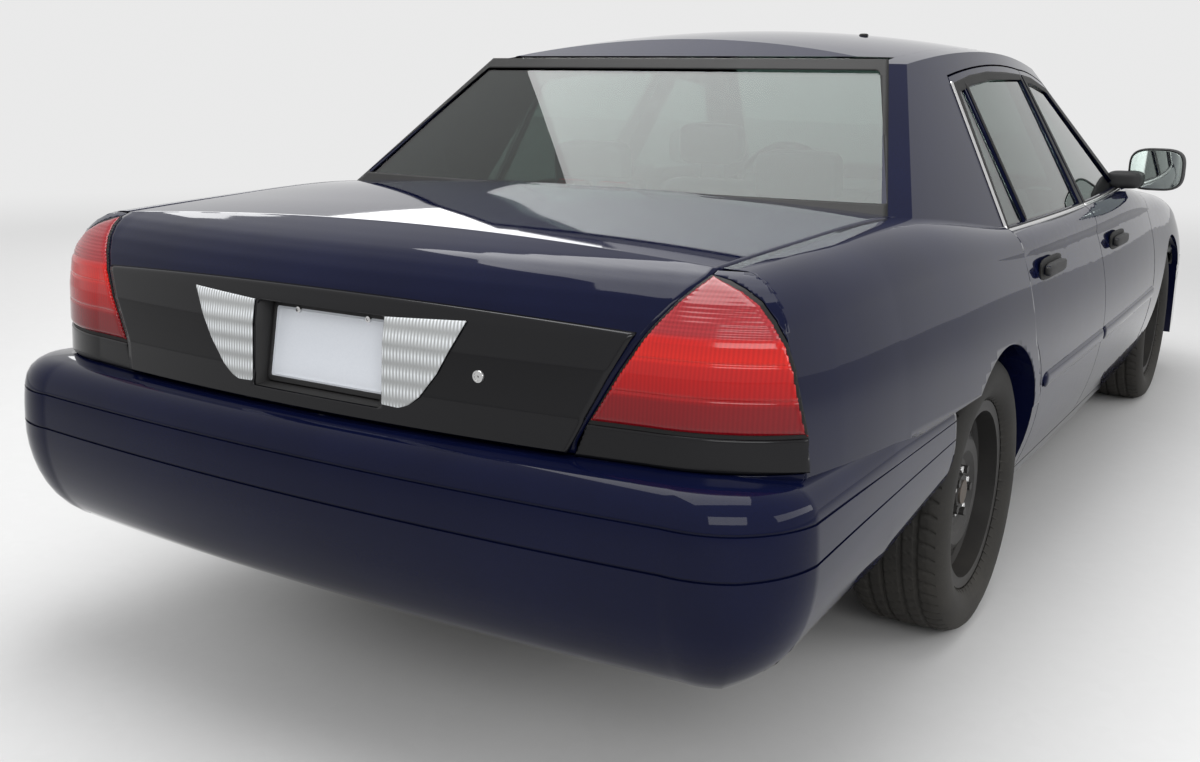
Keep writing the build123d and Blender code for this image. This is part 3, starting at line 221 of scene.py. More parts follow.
finish_of("wheel_black", (0.007, 0.007, 0.008), (0.02, 0.019, 0.018), 260.0, 0.5, 0.5, 0.15, 0.25, 0.7, bump=0.15,
          on=["rim_" + corner for corner in CORNERS], Specular_IOR_Level=0.35)
tyre_rubber = finish_of("tyre_rubber", 0.008, (0.025, 0.023, 0.02), 150.0, 0.6, 0.75, 0.15, 0.25,
                        0.7, bump=0.3, bump_scale=260.0, Specular_IOR_Level=0.3)
# Window glass: a green-grey tint, partly the glass's own colour and partly painted shade. It is darker than real
# glass so that the windows look as dark as a shaded cabin.
finish_of("window_glass", (0.21, 0.28, 0.255), (0.23, 0.30, 0.27), 6.0, 0.5, 0.0, 0.0,
          on=("windscreen", "rear_window", *("glass_" + corner for corner in CORNERS)), Transmission_Weight=1.0,
          IOR=1.45)
clear_lens = finish_of("clear_lens", (0.20, 0.21, 0.22), (0.34, 0.35, 0.36), 40.0, 0.4, 0.1, 0.05,
                       on=("headlamps",), Coat_Weight=1.0, Coat_Roughness=0.03)
tree = clear_lens.node_tree
tint(clear_lens, mix(tree, waves(tree, 22.0, 0.4, "Y"), (0.16, 0.17, 0.18, 1), (0.42, 0.44, 0.46, 1)))

# Quarter panels. The pressed steel side behind each rear door runs over the wheel arch and round the tail to
# the lamp. It is one skin from the sill to the boot opening, welded over the inner side frame.
# Sizes from here to the studio are in millimetres, as the panels are drawn.
SECTION_X = np.array([-2680.0, -2150.0, -1650.0, -900.0, 0.0, 900.0])
SECTION = {
    "sill": ((840, 300), (880, 290), (885, 250), (885, 235), (885, 235), (880, 235)),
    "wide": ((905, 640), (958, 630), (978, 620), (985, 620), (984, 620), (974, 620)),
    "shoulder": ((876, 910), (915, 928), (930, 930), (938, 900), (934, 885), (924, 870)),
    "deck": ((785, 1000), (800, 1028), (815, 1042), (890, 968), (888, 964), (862, 958)),
    "crown": ((0, 1022), (0, 1056), (0, 1072), (0, 1000), (0, 990), (0, 990)),
}
SHOULDER_BULGE = 0.16
TAIL_Z = (200, 700, 850, 905, 940, 970, 992, 1008, 1020, 1032, 1100)
TAIL_X = (-2600, -2605, -2598, -2588, -2572, -2550, -2524, -2496, -2462, -2420, -2150)
TAIL_SHOULDER, TAIL_CORNER = (51, 700), (300, 1006)
LAMP_EDGE = ((570, 715), (591, 757), (643, 851), (684, 920), (717, 967), (750, 1009))
LAMP_OUTER = ((785, 1002), (817, 991), (850, 973), (877, 945), (900, 910), (914, 869), (924, 819))
STRIP_LOW_Z = 694
REAR_AXLE = (-1291, 345)
ARCH_R = 379
DOOR_EDGE = ((-878, 500), (-945, 600), (-1016, 700), (-1032.5, 962))
LID_FRONT, LID_FRONT_HALF = (-1634, 40), 786
LID_EDGE = ((750, -2560), (754, -2455), (LID_FRONT_HALF, -1600))
# cabin wall planes: three corners each, of its sloping side, its rear corner and its back
CABIN_WALLS = (((-250, 905, 940), (-380, 652, 1400), (-1690, 872, 940)),
               ((-1690, 872, 940), (-1130, 635, 1400), (-1742, 838, 940)),
               ((-1742, 838, 940), (-1175, 610, 1400), (-1800, 0, 940)))
IN_CABIN = (-900, 0, 900)
BELT_Z = 930
PANEL_GAP = 2.5
CABIN_SEAM = 6
# stations, and how far the skin stands off the inner frame and how low it reaches there
SKIN_STAND = ((-2300, -2000), (4.3, 1.3))
SKIN_LOW = ((-1450, -1430), (648, 500))


def cubic(knots, slopes, k, u, span=1.0):
    """The cubic between knot k and the next at share u, with the given slopes at both."""
    return ((2 * u**3 - 3 * u**2 + 1) * knots[k] + (u**3 - 2 * u**2 + u) * span * slopes[k]
            + (3 * u**2 - 2 * u**3) * knots[k + 1] + (u**3 - u**2) * span * slopes[k + 1])


def through_stations(x, values):
    """A smooth line through the stations: on each span a cubic with the slopes of the neighbours' chords."""
    values = np.asarray(values, float)
    k = np.clip(np.searchsorted(SECTION_X, x) - 1, 0, len(SECTION_X) - 2)
    span = SECTION_X[k + 1] - SECTION_X[k]
    return cubic(values, np.gradient(values, SECTION_X), k, (x - SECTION_X[k]) / span, span)


def circle_of(a, b, c):
    """Centre and radius of the circle through three points."""
    (ax, ay), (bx, by), (cx, cy) = a, b, c
    d = 2 * (ax * (by - cy) + bx * (cy - ay) + cx * (ay - by))
    ox = ((ax**2 + ay**2) * (by - cy) + (bx**2 + by**2) * (cy - ay) + (cx**2 + cy**2) * (ay - by)) / d
    oy = ((ax**2 + ay**2) * (cx - bx) + (bx**2 + by**2) * (ax - cx) + (cx**2 + cy**2) * (bx - ax)) / d
    return ox, oy, np.hypot(ax - ox, ay - oy)


def arc_between(a, b, c, u):
    """The point at share u of the circle's arc from a over b to c, from its centre and its turned angle."""
    ox, oy, radius = circle_of(a, b, c)
    start, end = np.arctan2(a[1] - oy, a[0] - ox), np.arctan2(c[1] - oy, c[0] - ox)
    turn = (end - start + np.pi) % (2 * np.pi) - np.pi
    return ox + radius * np.cos(start + u * turn), oy + radius * np.sin(start + u * turn)


def section_at(x):
    """The corners of the body's section at station x, and the bulge of its shoulder."""
    p = {key: (through_stations(x, [v[0] for v in rows]), through_stations(x, [v[1] for v in rows]))
         for key, rows in SECTION.items()}
    (ay, az), (by, bz) = p["shoulder"], p["deck"]
    p["lean"] = (ay + by) / 2 + SHOULDER_BULGE * (bz - az), (az + bz) / 2 + SHOULDER_BULGE * (ay - by)
    return p


def deck_height(x, y):
    """The deck's crowned height: highest on the middle line, and falling with the square of the width."""
    p = section_at(x)
    return p["crown"][1] - (p["crown"][1] - p["deck"][1]) * (y / p["deck"][0]) ** 2


def body_point(x, t):
    """The body's surface at station x: t from 0 to 1 is sill to shoulder, to 2 the deck edge, to 3 the crown."""
    p = section_at(x)
    low = arc_between(p["sill"], p["wide"], p["shoulder"], np.clip(t, 0, 1))
    turn = arc_between(p["shoulder"], p["lean"], p["deck"], np.clip(t - 1, 0, 1))
    y = p["deck"][0] * (1 - np.clip(t - 2, 0, 1))
    parts = [np.where(t <= 1, a, np.where(t <= 2, b, c)) for a, b, c in zip(low, turn, (y, deck_height(x, y)))]
    return np.stack((np.broadcast_to(x, parts[0].shape), *parts), -1)


def side_at(x, z):
    """The body's half width at station x and height z, from the circles of its section."""
    p = section_at(x)
    circles = circle_of(p["sill"], p["wide"], p["shoulder"]), circle_of(p["shoulder"], p["lean"], p["deck"])
    low, high = (c[0] + np.sqrt(np.maximum(c[2] ** 2 - (z - c[1]) ** 2, 0)) for c in circles)
    return np.where(z < p["shoulder"][1], low, np.where(z < p["deck"][1], high, 0))


def tail_x(y, z):
    """How far back the tail is at width y and height z: a flat arc to the shoulder, then a round corner."""
    y = np.abs(y)
    (sx, sy), (cx, cy) = TAIL_SHOULDER, TAIL_CORNER
    flat_r = (sy**2 + sx**2) / (2 * sx)
    flat = flat_r - np.sqrt(flat_r**2 - np.minimum(y, sy) ** 2)
    ox, oy, radius = circle_of((sx, sy), (sx + 0.42 * (cx - sx), sy + 0.74 * (cy - sy)), (cx, cy))
    corner = ox - np.sqrt(np.maximum(radius**2 - (y - oy) ** 2, 0))
    return np.interp(z, TAIL_Z, TAIL_X) + np.where(y <= sy, flat, corner)


def outline_distance(p, q, corners):
    """The signed distance of the points (p, q) to a closed outline, negative inside, edge by edge."""
    far, inside = np.full(p.shape, 1e9), np.zeros(p.shape, bool)
    for (ax, ay), (bx, by) in zip(corners, (*corners[1:], corners[0])):
        ex, ey = bx - ax, by - ay
        u = np.clip(((p - ax) * ex + (q - ay) * ey) / (ex * ex + ey * ey), 0, 1)
        far = np.minimum(far, np.hypot(p - ax - u * ex, q - ay - u * ey))
        if ey:
            inside ^= ((ay > q) != (by > q)) & (p < ex * (q - ay) / ey + ax)
    return np.where(inside, -far, far)


def sheet(rows, columns):
    """Two triangles for each cell of a grid whose points run row by row."""
    a = (np.arange(rows - 1)[:, None] * columns + np.arange(columns - 1)).ravel()
    b = a + columns
    return np.concatenate((np.stack((a, a + 1, b), 1), np.stack((a + 1, b + 1, b), 1)))


def grid(first, second):
    """The two coordinates of a grid over two ranges (from, to, count), and its triangles."""
    a, b = np.meshgrid(np.linspace(*first), np.linspace(*second), indexing="ij")
    return a, b, sheet(first[2], second[2])


def tail_patch(wide, high):
    """The tail's surface over a range of widths and of heights."""
    y, z, faces = grid(wide, high)
    return np.stack((tail_x(y, z), y, z), -1).reshape(-1, 3), faces


def trim(skin, *rules):
    """Keeps a sheet where each rule of (x, y, z) is negative. A triangle that crosses zero is cut along it."""
    points, faces = skin
    for rule in rules:
        level = rule(*points.T)
        inside = level[faces] < 0
        count = inside.sum(1)
        all_points, all_faces = [points], [faces[count == 3]]
        for want in (1, 2):
            part, state = faces[count == want], inside[count == want]
            odd = (np.argmax(state, 1) if want == 1 else np.argmin(state, 1))[:, None]
            a, b, c = (np.take_along_axis(part, (odd + k) % 3, 1)[:, 0] for k in range(3))
            i = sum(map(len, all_points)) + np.arange(len(part))
            j = i + len(part)
            all_points += [points[a] + (points[k] - points[a]) * (level[a] / (level[a] - level[k]))[:, None]
                           for k in (b, c)]
            all_faces += [np.stack(k, 1) for k in (((a, i, j),) if want == 1 else ((i, b, c), (i, c, j)))]
        points, faces = np.concatenate(all_points), np.concatenate(all_faces)
    return points, faces


def piece(name, parts, body, slot, material, thick=0.0, inner=(-1000, 0, 600), soft=35, stands_for="",
          flip_y=False):
    """One object of the sheets given in millimetres: joined, turned to face away from the inner point."""
    base, points, faces = 0, [], []
    mirror = np.array((1, -1 if flip_y else 1, 1))
    for p, f in parts:
        p = np.asarray(p, float).reshape(-1, 3) * mirror
        a, b, c = p[f[:, 0]], p[f[:, 1]], p[f[:, 2]]
        turn = (np.cross(b - a, c - a) * ((a + b + c) / 3 - np.asarray(inner, float) * mirror)).sum()
        points.append(p)
        faces.append((f[:, ::-1] if turn < 0 else f) + base)
        base += len(p)
    mesh = bpy.data.meshes.new(name)
    mesh.from_pydata((np.concatenate(points) / 1000).tolist(), [], np.concatenate(faces).tolist())
    made = bmesh.new()
    made.from_mesh(mesh)
    bmesh.ops.remove_doubles(made, verts=made.verts, dist=0.0001)
    bmesh.ops.dissolve_degenerate(made, edges=made.edges, dist=0.00002)
    bmesh.ops.delete(made, geom=[v for v in made.verts if not v.link_faces], context="VERTS")
    made.to_mesh(mesh)
    made.free()
    mesh.shade_smooth()
    mesh.set_sharp_from_angle(angle=math.radians(soft))
    made = bpy.data.objects.new(name, mesh)
    scene.collection.objects.link(made)
    mesh.materials.append(material)
    if thick:
        wall = made.modifiers.new("wall", "SOLIDIFY")
        wall.thickness, wall.offset, wall.use_even_offset = thick / 1000, -1, False
    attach(made, body)
    if stands_for:
        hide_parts(stands_for)
    return made


def pair(name, parts, body, *rest, stands_for="", **more):
    """A piece on the left and its mirror image on the right. A side's name replaces {} in each name."""
    return [piece(name.format(side), parts, body.format(side), *rest, stands_for=stands_for.format(side),
                  flip_y=side == "right", **more) for side in SIDES]


def beyond(edge, z):
    """A polyline's width at height or station z."""
    return np.interp(z, [e[1] for e in edge], [e[0] for e in edge])


def lamp_outline(low, spare=0.0):
    """The lamp and its strip in rear view, from the lid's edge to the outer edge, moved by spare."""
    inner = [(y - spare, z + spare * 0.4) for y, z in LAMP_EDGE if z > low + 1]
    outer = [(y + spare, z + spare) for y, z in LAMP_OUTER]
    return ((beyond(LAMP_EDGE, low) - spare, low - spare), *inner, *outer, (936 + spare, 757),
            (940 + spare, low - spare))


def unit(v):
    """The vectors at length one."""
    return v / np.linalg.norm(v, axis=-1, keepdims=True)


def inside_cabin(x, y, z):
    """How far a point is inside the cabin's walls: the least of its depths behind the three planes."""
    depths = []
    for a, b, c in np.array(CABIN_WALLS, float):
        normal = unit(np.cross(b - a, c - a))
        depths.append((np.stack((x, y, z), -1) - a) @ (normal * np.sign(np.dot(normal, IN_CABIN - a))))
    return np.min(depths, 0)


side_x, side_t, faces = grid((-2560, -870, 170), (0.3, 2.14, 62))
side_skin = body_point(side_x, side_t).reshape(-1, 3)
side_skin[:, 1] += np.interp(side_skin[:, 0], *SKIN_STAND)
side_skin = trim((side_skin, faces), lambda x, y, z: tail_x(y, z) - x,
                 lambda x, y, z: ARCH_R - np.hypot(x - REAR_AXLE[0], z - REAR_AXLE[1]),
                 lambda x, y, z: x - beyond(DOOR_EDGE, z),
                 lambda x, y, z: np.interp(x, *SKIN_LOW) - z,
                 lambda x, y, z: beyond(LID_EDGE, x) + PANEL_GAP - y,
                 lambda x, y, z: np.minimum(inside_cabin(x, y, z) - CABIN_SEAM, z - BELT_Z))
corner_skin = trim(tail_patch((560, 970, 90), (640, 1046, 90)), lambda x, y, z: y - side_at(x, z) - SKIN_STAND[1][0],
                   lambda x, y, z: beyond(LAMP_EDGE, z) + PANEL_GAP - y,
                   lambda x, y, z: -outline_distance(y, z, lamp_outline(STRIP_LOW_Z, 1.5)))
pair("quarter_panel_{}", (side_skin, corner_skin), "body", "navy_paint", navy_paint, 1.0)
deck_x, deck_y, faces = grid((-1700, -1540, 50), (-LID_FRONT_HALF - 2, LID_FRONT_HALF + 2, 120))
cowl_skin = np.stack((deck_x, deck_y, deck_height(deck_x, deck_y)), -1).reshape(-1, 3)
cowl_skin = trim((cowl_skin, faces),
                 lambda x, y, z: LID_FRONT[0] - LID_FRONT[1] * (1 - (y / LID_FRONT_HALF) ** 2) - x,
                 lambda x, y, z: inside_cabin(x, np.abs(y), z) - CABIN_SEAM,
                 lambda x, y, z: np.abs(y) - LID_FRONT_HALF)
piece("rear_cowl", (cowl_skin,), "body", "navy_paint", navy_paint, 1.0)

# Boot lid. A pressed steel lid covers the boot's top and its rear face down to the bumper. It turns over a
# round edge at the back, and its rear face carries the gloss panel, both reverse lamps and the plate.
LID_LOW_Z = 698
LID_HALF = 752
ON_REAR_FACE_X = -2450
IN_BOOT = (-2100, 0, 800)
POCKET_HALF, POCKET_Z = 163, (727, 897)


def lid_point(u, v):
    """The lid's surface: v from -1 to 1 across, u to 1 back along the deck, and to 2 down the rear face."""
    stations = np.linspace(-2300, -2570, 400)[:, None]
    past = tail_x(v[None] * LID_HALF, deck_height(stations, v[None] * LID_HALF)) - stations > 0
    turn_x = stations[np.argmax(past, 0), 0]
    turn_z = deck_height(turn_x, v * LID_HALF)
    u = u[:, None]
    front = LID_FRONT[0] - LID_FRONT[1] * (1 - v**2)
    x = front + (turn_x - front) * np.clip(u, 0, 1)
    z_fall = turn_z + (LID_LOW_Z - turn_z) * np.clip(u - 1, 0, 1)
    y = v * (np.where(u <= 1, beyond(LID_EDGE, x), beyond(LAMP_EDGE, z_fall)) - PANEL_GAP)
    top = np.stack((x, y, deck_height(x, y)), -1)
    fall = np.stack((tail_x(y, z_fall), y, z_fall), -1)
    return np.where(u[..., None] <= 1, top, fall)


def off_pocket(spare):
    """A rule that keeps what lies outside the plate's pocket, widened by spare, on the rear face."""
    half, low, high = POCKET_HALF + spare, POCKET_Z[0] - spare, POCKET_Z[1] + spare
    corners = ((-half, low), (half, low), (half, high), (-half, high))
    return lambda x, y, z: np.where(x < ON_REAR_FACE_X, -outline_distance(y, z, corners), -1.0)


along = np.concatenate((np.linspace(0, 0.9, 24), np.linspace(0.902, 1, 20),
                        1 + np.linspace(0.006, 1, 60) ** 1.3))
lid = lid_point(along, np.linspace(-1, 1, 121))
lid_skin = trim((lid.reshape(-1, 3), sheet(*lid.shape[:2])), off_pocket(3))
piece("boot_lid_skin", (lid_skin,), "boot_lid", "navy_paint", navy_paint, 12.0, IN_BOOT, stands_for="boot_lid")

# Gloss panel. A moulded gloss black plastic panel fills the lid's rear face between the tail lamps. Its top
# edge is crowned, its lower strip leans outwards, and it is clipped to the lid.
PANEL_EDGE = ((560, 700), (583, 757), (664, 916), (672, 934))
PANEL_CROWN, PANEL_FOOT_Z = (933, 17), 700
PANEL_STAND = ((PANEL_FOOT_Z, 752, 760), (18, 7.5, 6))
share_z, share_y, faces = grid((0, 1, 60), (-1, 1, 101))
panel_top = PANEL_CROWN[0] - PANEL_CROWN[1] * share_y**2
panel_z = PANEL_FOOT_Z + (panel_top - PANEL_FOOT_Z) * share_z
panel_y = beyond(PANEL_EDGE, panel_z) * share_y
stand = (np.interp(panel_z, *PANEL_STAND) - 5 * np.clip((panel_z - panel_top + 5) / 5, 0, 1) ** 2
         - 4 * np.clip((PANEL_FOOT_Z + 3 - panel_z) / 3, 0, 1))
panel_skin = np.stack((tail_x(panel_y, panel_z) - stand, panel_y, panel_z), -1).reshape(-1, 3)
piece("gloss_panel", (trim((panel_skin, faces), off_pocket(0)),), "boot_lid", "gloss_black",
      gloss_black, 5.0, IN_BOOT, stands_for="lid_panel")

# Lock. A nickel-plated lock cylinder sits in the panel beside the right reverse lamp.
LOCK_AT = (-376, 812)
LOCK_PROFILE = ((12, 8), (12, -8), (11, -9.5), (8, -9.5), (7.5, -8), (2, -8), (1.2, -6), (0.01, -6))


def turned_form(profile, at, axis, count=32):
    """A turned piece: the profile's radii and reaches are carried round the axis x, y or z at the place."""
    angle = np.linspace(0, 2 * np.pi, count + 1)
    radius, reach = (np.array([k[i] for k in profile], float)[:, None] for i in (0, 1))
    rings = radius * np.cos(angle), radius * np.sin(angle), reach + 0 * angle
    order = {"x": (2, 0, 1), "y": (0, 2, 1), "z": (0, 1, 2)}[axis]
    return np.stack([rings[k] for k in order], -1) + at, sheet(len(profile), count + 1)


lock_x = float(tail_x(*map(np.array, LOCK_AT)))
bright_metal = finish_of("bright_metal", 0.62, 0.5, 500.0, 0.4, 0.18, 0.08, Metallic=1.0)
piece("boot_lock", (turned_form(LOCK_PROFILE, (lock_x, *LOCK_AT), "x"),), "boot_lid", "steel", bright_metal,
      inner=(lock_x + 30, *LOCK_AT))

# Tail lamps. Each lamp is a deep red moulded lens in steps: a paler ribbed top, a bright middle and a dark
# reflector low on the inner side. It wraps the corner, and a black rubber seal runs round it.
TIER_Z = (918, 877, 818)
LAMP_PATCH = ((560, 960, 90), (740, 1014, 170))
LAMP_CORE = (-2250, 560, 850)


def tail_moulding(outline, patch, push):
    """The patch of the tail within the outline, pushed outwards by a rule of its height and edge distance."""
    points, faces = trim(tail_patch(*patch), lambda x, y, z: outline_distance(y, z, outline))
    x, y, z = points.T
    swell, lean = push(z, np.maximum(-outline_distance(y, z, outline), 0)), np.clip((y - 700) / 240, 0, 1)
    return points + np.stack((-swell * (1 - 0.4 * lean), swell * lean, 0 * swell), -1), faces


def quarter_round(depth, size):
    """The rise from 0 to 1 of a quarter circle over the given size."""
    return np.sqrt(1 - (1 - np.clip(depth / size, 0, 1)) ** 2)


def lens_push(z, depth):
    """The lens stands out with a rounded rim, dips 2 mm along each step line, and is ribbed at its top."""
    dips = sum(np.exp(-((z - tier) / 2.2) ** 2) for tier in TIER_Z)
    return 7 * quarter_round(depth, 10) - 2 * dips + 0.5 * np.sin(z * 2 * np.pi / 7) * (z > TIER_Z[0])


red_glow = finish_of("red_lens", (0.50, 0.008, 0.010), (0.7, 0.03, 0.015), 30.0, 0.4, 0.12, 0.05,
                     Specular_IOR_Level=0.4)
tree = red_glow.node_tree
height = add_node(tree, "SeparateXYZ", {"Vector": place_in(tree)}).outputs["Z"]
tiers = add_node(tree, "ValToRGB", {"Fac": add_node(tree, "MapRange", {"Value": height}, From_Min=0.75,
                                                    From_Max=1.01).outputs[0]})
# share of the height: colour, from the dark reflector through the bright middle to the pale ribbed top
for share, colour in ((0.0, (0.16, 0.002, 0.005)), (0.22, (0.20, 0.003, 0.006)), (0.27, (0.36, 0.004, 0.005)),
                      (0.46, (0.44, 0.006, 0.005)), (0.50, (0.58, 0.012, 0.006)), (0.62, (0.48, 0.007, 0.005)),
                      (0.66, (0.34, 0.022, 0.028)), (0.95, (0.24, 0.010, 0.016))):
    tiers.color_ramp.elements.new(share).color = (*colour, 1)
tiers.color_ramp.elements.remove(tiers.color_ramp.elements[-1])
flutes = add_node(tree, "MapRange", {"Value": waves(tree, 45.0, 0.2, "Y")}, To_Min=0.80).outputs[0]
tint(red_glow, mix(tree, 1.0, tiers.outputs["Color"], flutes, blend_type="MULTIPLY"))
rubber = finish_of("rubber", 0.006, 0.015, 500.0, 0.4, 0.6, bump=0.15, Specular_IOR_Level=0.25)
lens = tail_moulding(lamp_outline(757, -3.0), LAMP_PATCH, lens_push)
seal = tail_moulding(lamp_outline(STRIP_LOW_Z, 0.6), LAMP_PATCH,
                     lambda z, depth: 1.5 * np.clip(depth / 1.5, 0, 1))
pair("tail_lens_{}", (lens,), "body", "red_lens", red_glow, 4.0, LAMP_CORE, stands_for="tail_lamps")
pair("lamp_seal_{}", (seal,), "body", "black_trim", rubber, 30.0, LAMP_CORE)

# Lamp strips. A gloss black moulding closes each lamp's foot above the bumper and wraps the corner with it.
STRIP_LINE = ((566, STRIP_LOW_Z), (589, 754), (936, 754), (941, STRIP_LOW_Z))
strip = tail_moulding(STRIP_LINE, ((540, 960, 120), (680, 760, 60)), lambda z, depth: 5 * quarter_round(depth, 5))
pair("lamp_strip_{}", (strip,), "body", "gloss_black", gloss_black, 4.0, (-2250, 560, 730))

# Reverse lamps. Two clear fluted lenses stand beside the plate, straight inside and curved outside. Their
# ribs are moulded in columns, and four flat bars cross each one.
REVERSE_LINE = ((165, 732), (206, 729), (231, 741), (252, 757), (291, 806), (322, 861), (348, 909), (165, 899))
REVERSE_BARS = (766, 800, 834, 868)
points, faces = trim(tail_patch((160, 352, 160), (724, 912, 70)),
                     lambda x, y, z: outline_distance(y, z, REVERSE_LINE) + 1.5)
depth = np.maximum(-outline_distance(*points.T[1:], REVERSE_LINE), 0)
bars = sum(np.exp(-((points[:, 2] - z) / 2.6) ** 2) for z in REVERSE_BARS)
flutes = 0.9 * np.abs(np.sin(points[:, 1] * np.pi / 7.5)) * np.clip(1 - bars, 0, 1)
points[:, 0] -= 7.5 + 4.0 * quarter_round(depth, 7) + (flutes + 0.6 * bars) * np.clip(depth / 9 - 0.6, 0, 1)
fluted = finish_of("fluted_lens", (0.60, 0.62, 0.63), (0.78, 0.80, 0.82), 70.0, 0.7, 0.10, 0.05, Coat_Weight=1.0,
                   Coat_Roughness=0.03)
tree = fluted.node_tree
ribs = maths(tree, "MULTIPLY", waves(tree, 42.0, 0.6, "Y"), waves(tree, 9.25, 0.3, "Z"))
tint(fluted, mix(tree, ribs, (0.30, 0.31, 0.31, 1), (0.74, 0.77, 0.80, 1)))
pair("reverse_lens_{}", ((points, faces),), "boot_lid", "clear_lens", fluted, 3.0, (-2400, 250, 820),
     stands_for="reverse_lamps")

# Number plate. A blank embossed aluminium plate leans in its recess, in a black plastic frame with two
# plated screws along the top.
PLATE_TOP, PLATE_FOOT, PLATE_HALF = (-2548, 889), (-2576, 733), 156
PLATE_LEAN = (PLATE_TOP[0] - PLATE_FOOT[0]) / (PLATE_TOP[1] - PLATE_FOOT[1])
SCREW_LEAN, SCREW_AT = 0.18, (90, 878)
SCREW_PROFILE = ((6.5, 0), (6.5, -5), (6, -6.5), (3.2, -7), (3, -5.6), (0.01, -5.4))


def plate_edge(y, z, half, low, high, round_r):
    """The signed distance of a point to a rounded rectangle in rear view."""
    cy, cz = np.abs(y) - half + round_r, np.abs(z - (low + high) / 2) - (high - low) / 2 + round_r
    return np.hypot(np.maximum(cy, 0), np.maximum(cz, 0)) + np.minimum(np.maximum(cy, cz), 0) - round_r


def plate_form(half, low, high, round_r, crown, lift):
    """A rounded rectangle lifted off the plate's leaning plane, whose rim falls off by a quarter round."""
    y, z, faces = grid((-half, half, 121), (low, high, 61))
    fall = crown * (1 - quarter_round(-plate_edge(y, z, half, low, high, round_r), crown))
    x = PLATE_FOOT[0] + (z - PLATE_FOOT[1]) * PLATE_LEAN - lift + fall
    return np.stack((x, y, z), -1).reshape(-1, 3), faces


pan_y, pan_z, faces = grid((-POCKET_HALF, POCKET_HALF, 82), (*POCKET_Z, 44))
pan_depth = np.clip(-plate_edge(pan_y, pan_z, POCKET_HALF, *POCKET_Z, 0) / 3, 0, 1)
pan_floor = PLATE_FOOT[0] + 9 + (pan_z - PLATE_FOOT[1]) * SCREW_LEAN
pan_x = (tail_x(pan_y, pan_z) - 5) * (1 - pan_depth) + pan_floor * pan_depth
piece("plate_pocket", ((np.stack((pan_x, pan_y, pan_z), -1), faces),), "boot_lid", "gloss_black", black_plastic,
      1.0, (-2300, 0, 812), 20)
white_plate = finish_of("plate_white", (0.66, 0.69, 0.74), (0.78, 0.80, 0.84), 300.0, 0.4, 0.30)
plate, faces = trim(plate_form(PLATE_HALF, 733, 889, 12, 0.5, 1.0),
                    lambda x, y, z: plate_edge(y, z, PLATE_HALF - 3, 736, 886, 10))
emboss = np.clip(1 - np.abs(plate_edge(*plate.T[1:], PLATE_HALF - 12, 746, 876, 8)) / 2, 0, 1)
plate[:, 0] -= 1.2 * emboss
piece("blank_plate", ((plate, faces),), "boot_lid", "white_plate", white_plate, 1.2, (-2300, 0, 810),
      stands_for="number_plate")
rim_form = trim(plate_form(PLATE_HALF + 2, 731, 891, 12, 3.0, 5.0),
                lambda x, y, z: np.maximum(plate_edge(y, z, PLATE_HALF + 1.5, 731.5, 890.5, 11),
                                           -plate_edge(y, z, PLATE_HALF - 6, 743, 881, 5)))
piece("plate_frame", (rim_form,), "boot_lid", "black_trim", black_plastic, 6.0, (-2300, 0, 810))
screw_x = PLATE_FOOT[0] + (SCREW_AT[1] - PLATE_FOOT[1]) * SCREW_LEAN
pair("plate_screw_{}", (turned_form(SCREW_PROFILE, (screw_x, *SCREW_AT), "x", 20),), "boot_lid", "steel",
     bright_metal, inner=(screw_x + 20, *SCREW_AT))

# Rear bumper. A body-colour plastic cover wraps the tail from wheel arch to wheel arch. It has a flat shelf on
# top, two thin grooves along it, and a rounded lower edge that rises towards the arches.
BUMPER_BACK = ((-2692, 0), (-2682.8, 390), (-2655, 780))
BUMPER_TURN = (BUMPER_BACK[2], (-2605, 922), (-2490, 985))
BUMPER_FLANK = (820, -11)
BUMPER_TOP, BUMPER_LOW = (694, 43), (303, 160)
# profile: height at the back, how far in from the widest line
BUMPER_PROFILE = ((694, 175), (692, 110), (690, 70), (687, 52), (680, 36), (668, 21), (652, 11), (634, 6),
                  (631, 5.6), (630, 9.5), (626, 9.4), (625, 4.8), (610, 3), (585, 1), (554, 0), (553, 4.6),
                  (549, 4.6), (548, 0), (520, 0), (490, 3), (460, 9), (430, 18), (400, 31), (372, 48), (345, 72),
                  (322, 100), (306, 135), (303, 170))


def bumper_form():
    """The profile carried round the bumper's plan: an arc across the back, a round corner and a straight side."""
    flank = np.linspace(0, 1, 70)[1:]
    straight = [BUMPER_TURN[2][k] + flank * BUMPER_FLANK[k] for k in (0, 1)]
    back = arc_between(*BUMPER_BACK, np.linspace(0, 1, 110))
    turn = arc_between(*BUMPER_TURN, np.linspace(0, 1, 50)[1:])
    path = np.stack([np.concatenate(k) for k in zip(back, turn, straight)], -1)
    step = unit(np.gradient(path, axis=0))
    side = np.clip((path[:, :1] + 2620) / 1100, 0, 1)
    top, low = BUMPER_TOP[0] - BUMPER_TOP[1] * side, BUMPER_LOW[0] + BUMPER_LOW[1] * side**0.8
    height, inset = np.array(BUMPER_PROFILE, float).T
    z = low + (top - low) * (height - BUMPER_LOW[0]) / (BUMPER_TOP[0] - BUMPER_LOW[0])
    inset = inset * (1 - 0.62 * np.clip(side * 2, 0, 1))
    arch_end = REAR_AXLE[0] - np.sqrt(np.maximum(ARCH_R**2 - (z - REAR_AXLE[1]) ** 2, 0)) - 3
    x = np.minimum(path[:, :1] + step[:, 1:] * inset, arch_end)
    return np.stack((x, path[:, 1:] - step[:, :1] * inset, z), -1).reshape(-1, 3), sheet(*z.shape)


half_form, faces = bumper_form()
piece("rear_bumper_cover", ((half_form, faces), (half_form * (1, -1, 1), faces)), "body", "navy_paint", navy_paint,
      4.0, (-1900, 0, 500), 50, "rear_bumper")
